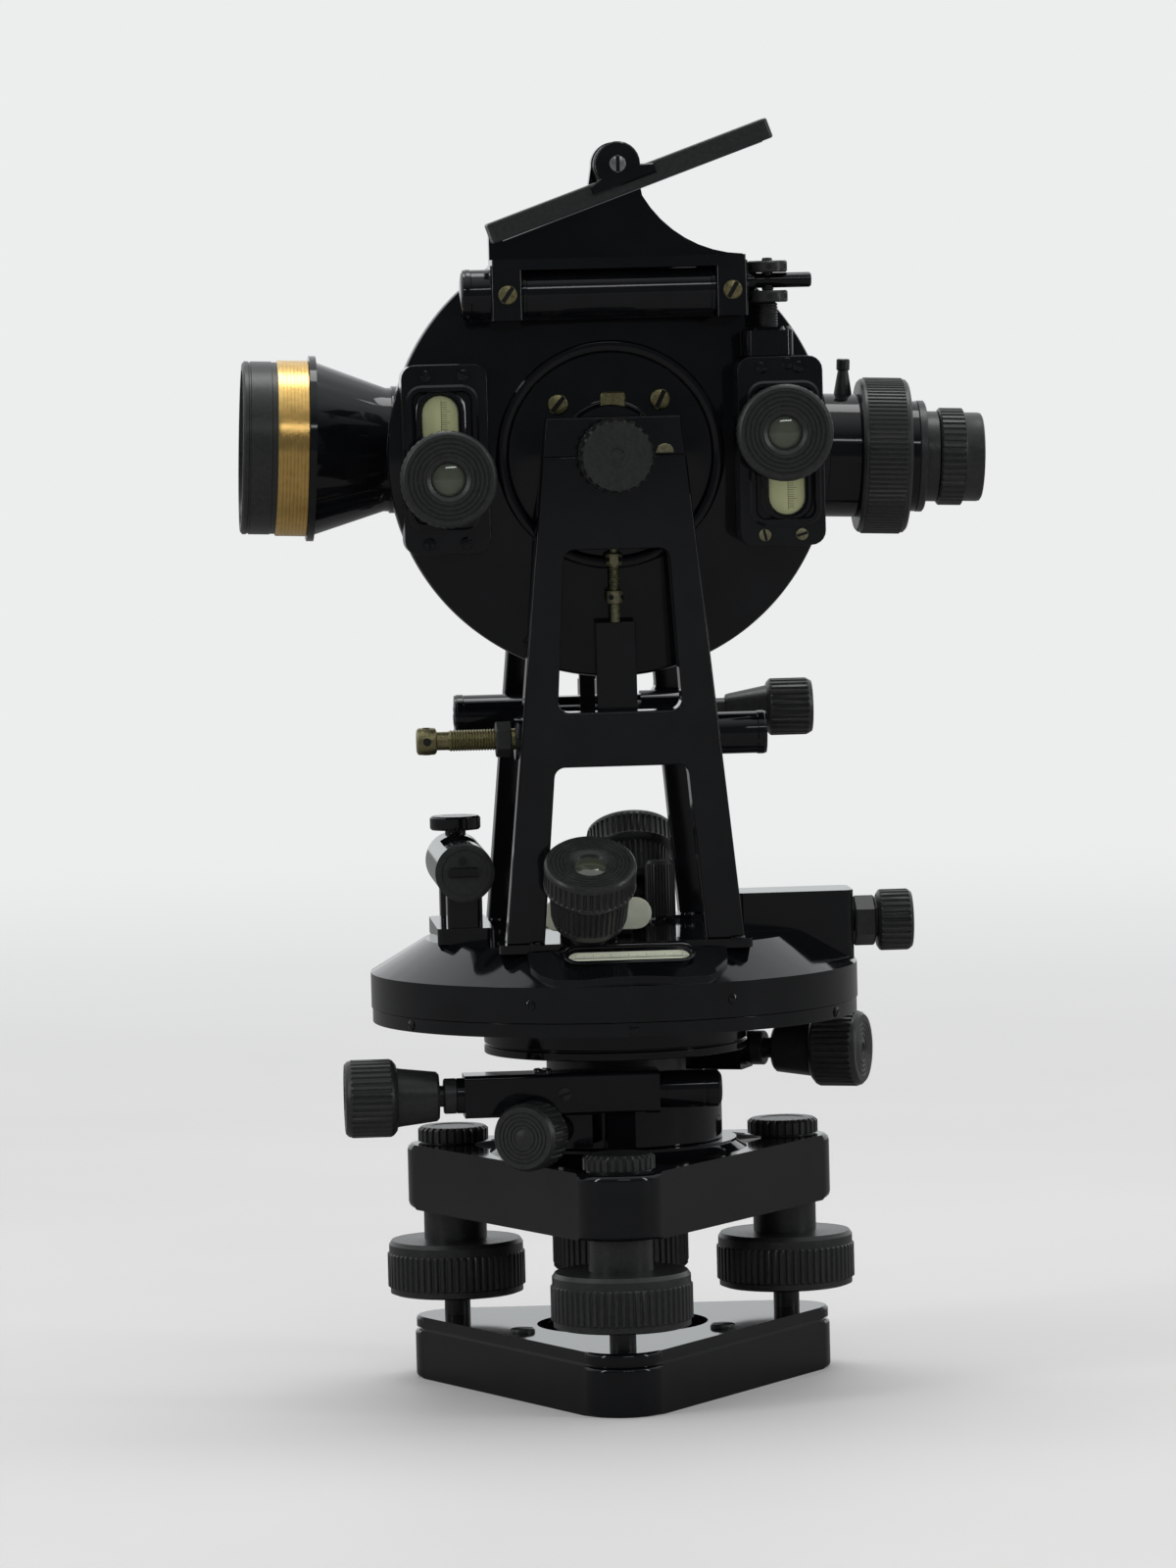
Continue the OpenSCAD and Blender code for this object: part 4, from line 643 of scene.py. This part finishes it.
ends.lathe([(0, 9.4), (6.8, 9.4), (7.2, 9.8, 1), (7.2, 12.6, 1), (6.9, 13.1), (6.4, 13.4), (0, 13.4)], SATIN,
           shift(PLATE_LEVEL_X, far_end - 8, plate_level_z), ribs=36, depth=0.35)
ends.make("plate_level_ends", "alidade")
graduations = Piece()
for k in range(-4, 5):
    if k:
        y = centre("plate_level_case", Y) + 1.5 + k * 2.0 + (3 if k > 0 else -3)
        graduations.lathe([(6.42, y - 0.09), (6.46, y - 0.09), (6.46, y + 0.09), (6.42, y + 0.09)], INK,
                          shift(PLATE_LEVEL_X, 0, plate_level_z) @ BACK, n=48)
graduations.make("plate_level_lines", "alidade")

# Standards
for side in ("near", "far"):
    out = -1 if side == "near" else 1
    casting(side + "_standard", bevel=0, faces=(out * STANDARD_OUT, out * STANDARD_IN), soft=0.6)
    casting(side + "_bearing_cap", bevel=0.7)
CAP_SCREW_X = 14.6
cap_top = top("near_bearing_cap")
heads = Piece()
for y in (-STANDARD_Y, STANDARD_Y):
    for x in (-CAP_SCREW_X, CAP_SCREW_X):
        place = shift(x, y, cap_top - 2)
        heads.lathe([(0, -16.5), (1.6, -16.5), (1.6, 0), (0, 0)], BRONZE, place, n=24)
        slotted_head(heads, 3, 1.8, place, BRONZE, x * 3 + y)
# half a screw head, cut off by the seam under the near cap
heads.prism(arc(2.6, 0, 180, 16), 0, 0.7, BRONZE,
            shift(14.2, 0.1 - STANDARD_OUT, TRUNNION_Z + 0.4) @ FRONT, edge=0.2)
heads.make("bearing_cap_screws", "alidade", ["cap_screws"])
casting("vertical_clamp_arm", bevel=0.5)

# Screws in the crossbars
clip_z = centre("clip_screw", Z)
at_clip = shift(0, -CROSSBAR_Y, clip_z) @ turn(-90, "Y")
side_z = centre("vertical_tangent_screw", Z)
at_side = shift(0, CROSSBAR_Y, side_z) @ ALONG_X
clip = Piece()
clip.lathe([(0, 0.6), (2.4, 0.6), (3, 1.2), (3, 29.5)] + threaded(3, 34.6, 47.5, 0.8, 0.3)
           + [(2.6, 48), (2.6, 52), (0, 52)], DARK_BRASS, at_clip, n=48)
clip.prism(hexagon(5), 30, 34.4, SATIN, at_clip, edge=0.35)
clip.lathe([(0, 51), (3.1, 51), (3.7, 51.4), (3.8, 52), (3.8, 55.8), (3.6, 56.3), (3.0, 56.6), (0, 56.6)],
           DARK_BRASS, at_clip, n=48)
for a in (0, 90, 180, 270):
    pin_hole(clip, 1.15, 3.3, 3.83, at_clip @ shift(0, 0, 53.8) @ turn(a, "Z") @ ALONG_X)
clip.make("clip_screw_turned", "clip_screw", ["clip_screw"])
knob = Piece()
knob.lathe([(0, 0.6), (3, 0.6), (3, 36.6), (4, 37), (4.3, 38), (6.2, 48), (6.4, 48.8), (7.2, 49), (8.1, 49.8),
            (8.3, 50.2, 1), (8.3, 60.2, 1), (8.1, 60.8), (7.4, 62)] + rings_face(6.6, 1.8, 62, 1.15, 0.25)
           + [(1.2, 62), (0, 62)],
           SATIN, at_side, ribs=28, depth=0.5)
knob.make("vertical_tangent_knob", "vertical_tangent_screw", ["vertical_tangent_screw"])
collars = Piece()
for place in (shift(0, -CROSSBAR_Y, clip_z) @ ALONG_X, shift(0, CROSSBAR_Y, side_z) @ turn(-90, "Y")):
    collars.lathe([(5.9, 39.4), (6.1, 39.6), (6.1, 41.4), (5.8, 41.7), (3, 41.9), (0, 41.9), (0, 39.4)],
                  ENAMEL, place, n=64)
    slotted_head(collars, 3.4, 0.5, place @ shift(0, 0, 41.8), SATIN, 70)
collars.make("spring_box_ends", "alidade")

# Telescope
casting("telescope_tube", bevel=0.3)
steps = [(21.6 if k % 2 else 22, -95.5 - k) for k in range(7)]
hood = Piece()
hood.lathe([(22, -102.8), (23.9, -102.8), (24.6, -102.2), (24.6, -101.2), (24.35, -101), (24.35, -100.6),
            (24.6, -100.4), (24.6, -94.6), (24.4, -94.4), (24.4, -93), (22, -93), (22, -95)] + steps,
           SATIN, SIGHT, n=128)
hood.make("objective_hood_turned", "telescope", ["objective_hood"])
band = Piece()
grooves = []
for k in range(8):
    z = -92.3 + k * 1.02
    grooves += [(25, z), (25, z + 0.75), (24.88, z + 0.82), (24.88, z + 0.95)]
band.lathe([(23.42, -93), (24.7, -93), (24.95, -92.8)] + grooves
           + [(24.95, -84.2), (24.7, -84), (23.42, -84)], BRASS, SIGHT, n=128)
band.make("brass_band_turned", "telescope", ["brass_band"])
front = Piece()
front.lathe([(19.6, -92.8), (21.55, -92.8), (21.55, -90.2), (20.6, -90.2), (19.9, -90.8)], SATIN, SIGHT, n=96)
# two small patches of painted shade in place of the spanner notches of the lens ring
for k in range(2):
    front.prism(rounded_box(1.6, 1.2, 0.2), -93.0, -92.2, PAINTED_SHADE,
                SIGHT @ turn(90 + 180 * k, "Z") @ shift(20.6, 0, 0))
for k in range(3):
    slotted_head(front, 1.5, 0.6, SIGHT @ turn(120 * k + 40, "Z") @ shift(TUBE_R, 0, -30) @ ALONG_X,
                 ENAMEL, 20)
front.lathe([(17.6, -60.6), (18.1, -60.4), (18.1, -58.6), (17.6, -58.4), (17.3, -59)], ENAMEL, SIGHT, n=96)
front.make("telescope_front_fittings", "telescope")

focus = Piece()
focus.lathe([(15.9, 73.3), (21.2, 73.3), (21.9, 74), (21.9, 74.7), (22.3, 74.9, 1), (22.3, 85.6, 1),
             (21.9, 85.8), (21.9, 86.6), (21.2, 87.3), (19.4, 87.3), (19, 87), (15.9, 87)],
            SATIN, SIGHT, ribs=96, depth=0.35, wave=(0, 0, 1, 1))
focus.make("focusing_ring_knurled", "focusing_ring", ["focusing_ring"])
eyepiece = Piece()
eyepiece.lathe([(3, 78.2), (15, 78.2), (15, 90), (15.6, 90), (15.9, 90.3), (15.9, 92), (15.4, 92.4),
                (12.9, 92.6), (12.9, 96), (9, 96), (9, 107), (3, 107)], SATIN, SIGHT, n=96)
eyepiece.make("eyepiece_tube_turned", "telescope", ["eyepiece_tube"])
ring = Piece()
ring.lathe([(9.05, 96.3), (13.2, 96.3), (13.7, 96.7), (13.9, 96.9, 1), (13.9, 103.2, 1), (13.6, 103.4),
            (12.9, 103.6), (12.7, 104), (12.7, 107.8), (12.5, 108.6), (11.9, 109), (9, 109), (7, 108.4),
            (5.2, 107.6), (5, 107.5), (9.05, 107.5)], SATIN, SIGHT, ribs=44, depth=0.5)
ring.make("eyepiece_ring_ribbed", "eyepiece_ring", ["eyepiece_ring"])
lens = Piece()
lens.lathe([(0, 107.5), (5.2, 107.5), (4, 108), (2, 108.2), (0, 108.3)], SHADED_EYE_GLASS, SIGHT, n=40)
lens.make("eyepiece_lens", "eyepiece_ring")
post = Piece()
at_post = SIGHT @ shift(-TUBE_R - 0.1, 0, 69) @ turn(-90, "Y")
post.lathe([(0, -0.4), (2.6, -0.4), (2.5, 0.5), (1.5, 6.6), (1.9, 6.8), (1.9, 9.6), (1.6, 9.9), (0, 9.9)],
           SATIN, at_post, n=32)
post.make("sight_post", "telescope", ["rear_sight"])

knob = Piece()
at_knob = shift(0, -48.8, TRUNNION_Z) @ FRONT
knob.lathe([(0, 0), (8.6, 0), (9.4, 0.6), (10.2, 1.4), (10.5, 1.8, 1), (10.5, 10.4, 1), (10.1, 11.4, 1),
            (9.6, 12), (2.2, 12), (1.9, 11.6), (0, 11.6)],
           SATIN, at_knob, ribs=24, depth=0.75, wave=(0, 0, 0, 0.7, 1, 0.7))
knob.make("trunnion_knob_ribbed", "trunnion_knob", ["trunnion_knob"])

# Index frame
at_index = shift(0, 0, TRUNNION_Z) @ FRONT
cover = Piece()
cover.lathe([(59.5, 24), (62.0, 24), (62.5, 24.5), (62.5, 27.2), (62.25, 27.35), (62.25, 27.7), (62.5, 27.85),
             (62.5, 33), (62.2, 33.7), (61.5, INDEX_FACE), (32.6, INDEX_FACE), (32.1, 34.05), (31.9, 34.4),
             (31.6, 34.9), (31.2, 35), (29.6, 35), (29.1, 34.8), (28.9, 34.3), (28.5, INDEX_FACE),
             (15.4, INDEX_FACE), (14.4, 34.4), (14, 34.9), (14, 36.6), (13.6, 37), (8.05, 37), (8.05, 32),
             (59.5, 32)],
            ENAMEL, at_index, n=192)
cover.make("circle_cover_turned", "index_frame", ["circle_cover"])
fix = Piece()
for x, z in ((-14.5, 14.4), (14.4, 15.2)):
    slotted_head(fix, 2.9, 1.4, at_index @ shift(x, z, INDEX_FACE), DARK_BRASS, 50 if x < 0 else 65)
fix.prism(rounded_box(7, 6, 1.2), INDEX_FACE, INDEX_FACE + 2.2, DARK_BRASS, at_index @ shift(1, 14.6, 0),
          edge=0.4)
for a in (20, 160, 200, 340):
    x, z = 57.5 * math.cos(math.radians(a + 45)), 57.5 * math.sin(math.radians(a + 45))
    slotted_head(fix, 1.6, 0.5, at_index @ shift(x, z, INDEX_FACE), ENAMEL, a)
at_arm = shift(0, -37.6, bottom("index_screws"))
fix.lathe([(0, 0), (1.4, 0), (1.4, 5), (2.4, 5.3), (2.4, 8.7), (1.4, 9)] + threaded(1.5, 9.2, 15.6, 0.7, 0.2)
          + [(1.6, 16), (2.3, 16), (2.5, 16.4), (2.5, 19.1), (2.2, 19.5), (1.2, 19.5), (1.2, 21), (0, 21)],
          BRONZE, at_arm, n=40)
for a in range(0, 360, 90):
    pin_hole(fix, 0.75, 2.0, 2.53, at_arm @ shift(0, 0, 17.7) @ turn(a + 40, "Z") @ ALONG_X, n=20)
    pin_hole(fix, 0.75, 1.9, 2.43, at_arm @ shift(0, 0, 7) @ turn(a + 60, "Z") @ ALONG_X, n=20)
fix.make("index_frame_screws", "index_frame", ["index_screws"])
casting("index_arm", bevel=0.5)
casting("microscope_housings", bevel=0.9)
casting("circle_back", bevel=0.2)

for side, name in ((-1, "left"), (1, "right")):
    place = shift(side * HOUSING_X, -INDEX_FACE, TRUNNION_Z + side * EYE_OFFSET) @ FRONT
    eye = Piece()
    eye.lathe([(0, 7), (7, 7), (7, 14.4), (10.4, 14.4), (10.6, 14.8), (12, 19.6), (12.6, 20), (13.2, 20.6),
               (13.4, 21, 1), (13.6, 25.4, 1), (13.5, 26), (13.1, 26.6), (12.5, 27)]
              + rings_face(12.1, 5.2, 27, 1.25, 0.35) + [(5, 26), (4.6, 24.6), (0, 24.6)], SATIN, place,
              ribs=40, depth=0.45)
    domed_lens(eye, 4.5, 24.6, place)
    eye.make("microscope_" + name + "_eyepiece", "microscope_" + name, ["microscope_" + name])
frames = Piece()
across, away = WINDOW_OFFSET
for side in (-1, 1):
    place = shift(side * HOUSING_X, -INDEX_FACE, TRUNNION_Z) @ FRONT @ shift(0, 0, 14)
    frame_ring(frames, 20.4, 40.5, 4.5, 2.2, 1.5, ENAMEL, place @ shift(side * 0.8, -side * 0.6, 0))
    frame_ring(frames, 14.6, 19.2, 6.6, 1.9, 0.9, ENAMEL, place @ shift(side * across, -side * away, 0))
    for x in (-5.2, 5.2):
        for z in (-23.4, 23.4):
            look = BRONZE if z < 0 < side else ENAMEL
            slotted_head(frames, 1.75, 0.7, place @ shift(x, z, 0), look, x * 9 + z * 3 + 40)
frames.make("housing_frames", "index_frame")
scale = Piece()
for side in (-1, 1):
    place = (shift(side * (HOUSING_X + across), -INDEX_FACE, TRUNNION_Z - side * away) @ FRONT
             @ shift(0, 0, 12.6))
    for k in range(-9, 10):
        left, right = 0.4, 0.4 + (2.4 if k % 5 == 0 else 1.6)
        low, high = k * 0.62 - 0.06, k * 0.62 + 0.06
        scale.prism([(left, low), (right, low), (right, high), (left, high)], 0, LINE_HEIGHT, INK, place)
    scale.prism([(0.3, -6.2), (0.42, -6.2), (0.42, 6.2), (0.3, 6.2)], 0, LINE_HEIGHT, INK, place)
scale.make("housing_window_lines", "index_frame")

# Altitude level
casting("altitude_level_case", bevel=0.45)
LEVEL = shift(*INDEX_TOP, TRUNNION_Z + LEVEL_RISE)
detail = Piece()
for x, angle in ((-31.3, 55), (31.6, 60)):
    slotted_head(detail, 2.7, 0.9, LEVEL @ shift(x, -7.7, 0) @ FRONT, DARK_BRASS, angle)
for x in (-26.4, 26.4):
    detail.lathe([(7.2, -0.6), (7.45, -0.4), (7.45, 0.4), (7.2, 0.6), (7.0, 0)], ENAMEL,
                 LEVEL @ shift(x, 0, 0) @ ALONG_X, n=64)
detail.lathe([(0, -44.3), (4.5, -44.2), (6.3, -43.9), (7.0, -43.3), (7.35, -42.6), (7.35, -41.4),
              (7.2, -41.2), (7.0, -42), (0, -42)], ENAMEL, LEVEL @ ALONG_X, n=64)
detail.lathe([(0, 36), (3, 36), (3, 38.2), (2.5, 38.8), (2.1, 39), (2.1, 53.8), (1.7, 54.3), (0, 54.3)],
             ENAMEL, LEVEL @ shift(0, 0, 2.3) @ ALONG_X, n=48)
stud = LEVEL @ shift(42.1, 0, 0)
detail.lathe([(0, -11), (2.7, -11)] + threaded(2.7, -10.4, -3.8, 0.8, 0.25) + [(1.7, -3.6)]
             + threaded(1.7, -0.4, 7.9, 0.8, 0.2) + [(1.5, 8), (1.3, 8.6), (0, 8.7)], SATIN, stud, n=32)
for low in (-3.8, 4.5):
    detail.lathe([(0, low), (5.2, low), (5.6, low + 0.4), (5.6, low + 2.9), (5.2, low + 3.3),
                  (0, low + 3.3)], SATIN, stud, n=48)
    for a in range(0, 360, 60):
        pin_hole(detail, 0.8, 5, 5.63, stud @ shift(0, 0, low + 1.65) @ turn(a + 30, "Z") @ ALONG_X, n=20)
detail.prism(rounded_box(13.4, 13, 3), -19.6, -10.6, ENAMEL, stud @ shift(0, 2.5, 0), edge=1.0)
detail.prism(rounded_box(7, 6, 1.5), -23.5, -19.4, ENAMEL, stud @ shift(0, 1, 0), edge=0.4)
slotted_head(detail, 1.9, 1.2, stud @ shift(4.6, -4.0, -21) @ FRONT, ENAMEL, 50)
detail.make("altitude_level_details", "index_frame")
tube = Piece()
for k in range(-5, 6):
    if k:
        x = k * 2.2 + (3.5 if k > 0 else -3.5)
        tube.lathe([(5.6, x - 0.09), (5.64, x - 0.09), (5.64, x + 0.09), (5.6, x + 0.09)], INK,
                   LEVEL @ ALONG_X, n=40)
tube.make("altitude_level_lines", "index_frame")

casting("level_mirror", SATIN, bevel=0.6)
MIRROR_AT = shift(*INDEX_TOP, TRUNNION_Z + MIRROR_RISE) @ turn(-MIRROR_TILT, "Y")
glass = Piece()
glass.prism(rounded_box(78, 11, 0.8), -8.72, -8.5, MIRROR, MIRROR_AT @ shift(1.7, -3.3, 0))
glass.make("mirror_glass", "level_mirror")
ear = Piece()
ear.prism(arc(6.3, 200, -20, 16) + [(9.4, -3.3), (9.4, -6), (-9.4, -6), (-9.4, -3.3)], 10.0, 11.1, ENAMEL,
          MIRROR_AT @ FRONT, edge=0.4)
ear.make("mirror_ear", "level_mirror")
pivot = Piece()
slotted_head(pivot, 2.4, 0.9, MIRROR_AT @ shift(0, -11.1, 0) @ FRONT, STEEL, 70)
pivot.make("mirror_pivot_screw", "level_mirror")

# Finish of the CAD nodes that stay as they are
for name, look in (("outer_axis", SATIN), ("inner_axis", STEEL), ("trunnion_axle", STEEL),
                   ("axis_bush", BRONZE), ("horizontal_circle", SILVER), ("vertical_circle", SILVER),
                   ("plate_verniers", SILVER), ("plate_windows", CREAM), ("vernier_windows", OPAL),
                   ("plate_level_vial", VIAL), ("altitude_level_vial", VIAL), ("objective_lens", GLASS),
                   ("focusing_lens", GLASS), ("reticle", GLASS)):
    mesh = cad_nodes[name].data
    mesh.materials.clear()
    mesh.materials.append(look)
    mesh.set_sharp_from_angle(angle=math.radians(SMOOTH_ANGLE))


# Floor, backdrop and lights
BACKDROP = (0.84, 0.85, 0.85, 1)
FLOOR_REACH = 12.0
FADE_START, FADE_END = 0.3, 2.2  # metres from the instrument, where the floor passes into the backdrop
DARK_SHARE, DARK_FLOOR = 0.75, (0.03, 0.03, 0.03, 1)  # how far, and how dark, the floor shows in reflections


def any_ray(tree, *rays):
    """1 for the rays of the kinds named, which are outputs of the Light Path node."""
    path = tree.nodes.new("ShaderNodeLightPath")
    total = path.outputs[rays[0]]
    for ray in rays[1:]:
        either = tree.nodes.new("ShaderNodeMath")
        either.operation = "MAXIMUM"
        tree.links.new(total, either.inputs[0])
        tree.links.new(path.outputs[ray], either.inputs[1])
        total = either.outputs[0]
    return total


def product(tree, first, second):
    """One output times another, or times a number."""
    node = tree.nodes.new("ShaderNodeMath")
    node.operation = "MULTIPLY"
    tree.links.new(first, node.inputs[0])
    if isinstance(second, float):
        node.inputs[1].default_value = second
    else:
        tree.links.new(second, node.inputs[1])
    return node.outputs[0]


def mixed(tree, share, first, second):
    """The first shader where share is 0, and the second where it is 1."""
    node = tree.nodes.new("ShaderNodeMixShader")
    for source, socket in zip((share, first, second), node.inputs):
        tree.links.new(source, socket)
    return node.outputs[0]


def coloured(tree, kind, color):
    """An emission or background shader of one colour."""
    node = tree.nodes.new(kind)
    node.inputs["Color"].default_value = color
    return node.outputs[0]


def floor_look():
    """Pale floor that keeps the shadow and passes into the backdrop further out."""
    made = material("studio_floor", (0.8, 0.79, 0.77), 0.6, wear=0.03, grain=3, Specular_IOR_Level=0.1)
    tree, links = made.node_tree, made.node_tree.links
    place = tree.nodes.new("ShaderNodeTexCoord")
    away = tree.nodes.new("ShaderNodeVectorMath")
    away.operation = "LENGTH"
    links.new(place.outputs["Object"], away.inputs[0])
    fade = tree.nodes.new("ShaderNodeMapRange")
    fade.interpolation_type = "SMOOTHSTEP"
    fade.inputs["From Min"].default_value = FADE_START
    fade.inputs["From Max"].default_value = FADE_END
    links.new(away.outputs["Value"], fade.inputs["Value"])
    seen = any_ray(tree, "Is Camera Ray", "Is Glossy Ray", "Is Transmission Ray")
    lit = tree.nodes["Principled BSDF"].outputs[0]
    paler = mixed(tree, product(tree, fade.outputs["Result"], seen), lit,
                  coloured(tree, "ShaderNodeEmission", BACKDROP))
    darker = product(tree, any_ray(tree, "Is Glossy Ray"), DARK_SHARE)
    surface = mixed(tree, darker, paler, coloured(tree, "ShaderNodeEmission", DARK_FLOOR))
    links.new(surface, tree.nodes["Material Output"].inputs["Surface"])
    return made


corners = [(x * FLOOR_REACH, y * FLOOR_REACH, 0) for x, y in ((-1, -1), (1, -1), (1, 1), (-1, 1))]
floor_mesh = bpy.data.meshes.new("studio_floor")
floor_mesh.from_pydata(corners, [], [(0, 1, 2, 3)])
floor_mesh.materials.append(floor_look())
floor = add_object("studio_floor", floor_mesh)

# The world lights evenly; in reflections it is darker behind the camera, and paler above and beyond the
# instrument
PALE_SIDE = (0, 0.6, 0.8)
DARK_ROOM, PALE_ROOM = (0.09, 0.1, 0.11, 1), (0.84, 0.87, 0.88, 1)
world = bpy.data.worlds.new("studio")
bpy.context.scene.world = world
world.use_nodes = True
tree, links = world.node_tree, world.node_tree.links
plain = tree.nodes["Background"]
plain.inputs["Color"].default_value = (0.8, 0.82, 0.84, 1)
plain.inputs["Strength"].default_value = 0.8
place = tree.nodes.new("ShaderNodeTexCoord")
toward = tree.nodes.new("ShaderNodeVectorMath")
toward.operation = "DOT_PRODUCT"
toward.inputs[1].default_value = PALE_SIDE
links.new(place.outputs["Generated"], toward.inputs[0])
room = tree.nodes.new("ShaderNodeValToRGB")
for element, position, color in zip(room.color_ramp.elements, (0.0, 0.62), (DARK_ROOM, PALE_ROOM)):
    element.position = position
    element.color = color
links.new(toward.outputs["Value"], room.inputs["Fac"])
mirrored = tree.nodes.new("ShaderNodeBackground")
links.new(room.outputs["Color"], mirrored.inputs["Color"])
direct = mixed(tree, any_ray(tree, "Is Camera Ray", "Is Transmission Ray"), plain.outputs[0],
               coloured(tree, "ShaderNodeBackground", BACKDROP))
links.new(mixed(tree, any_ray(tree, "Is Glossy Ray"), direct, mirrored.outputs[0]),
          tree.nodes["World Output"].inputs["Surface"])


def lamp(name, place, target, width, height, power):
    """A rectangular lamp that points at its target; places in metres, power in watts."""
    data = bpy.data.lights.new(name, "AREA")
    data.energy = power
    data.shape = "RECTANGLE"
    data.size = width
    data.size_y = height
    made = add_object(name, data)
    made.location = place
    made.rotation_euler = (Vector(target) - Vector(place)).to_track_quat("-Z", "Y").to_euler()


lamp("window_left", (-1.5, -0.8, 0.9), (0, 0, 0.18), 0.16, 1.3, 5)
lamp("window_right", (1.55, -0.75, 0.75), (0, 0, 0.18), 0.14, 1.2, 4)
lamp("top", (0.1, 0.3, 1.6), (0, 0, 0.15), 0.9, 0.5, 6)
lamp("behind_camera", (0.4, -2.3, 1.55), (0, 0, 0.25), 1.3, 0.12, 3)

# Camera, from the photograph's vanishing lines
HEADING, FAR, EYE = math.radians(4.3), 2.17, 0.312
DOWN, LEFT, ROLL = math.radians(3.66), math.radians(0.161), math.radians(1.42)
ahead = Vector((math.sin(HEADING), math.cos(HEADING), 0))
right = Vector((math.cos(HEADING), -math.sin(HEADING), 0))
up = Vector((0, 0, 1))
level_view = ahead * math.cos(LEFT) - right * math.sin(LEFT)
right = right * math.cos(LEFT) + ahead * math.sin(LEFT)
view = level_view * math.cos(DOWN) - up * math.sin(DOWN)
up = up * math.cos(DOWN) + level_view * math.sin(DOWN)
up, right = up * math.cos(ROLL) + right * math.sin(ROLL), right * math.cos(ROLL) - up * math.sin(ROLL)
camera_data = bpy.data.cameras.new("camera")
camera_data.sensor_fit = "VERTICAL"
camera_data.sensor_height = 24
camera_data.lens = 116.25
camera_data.clip_start, camera_data.clip_end = 0.05, 20
camera = add_object("camera", camera_data)
camera.matrix_world = Matrix(((right.x, up.x, -view.x, -ahead.x * FAR),
                              (right.y, up.y, -view.y, -ahead.y * FAR),
                              (right.z, up.z, -view.z, EYE), (0, 0, 0, 1)))
bpy.context.scene.camera = camera
bpy.context.scene.view_settings.view_transform = "Standard"
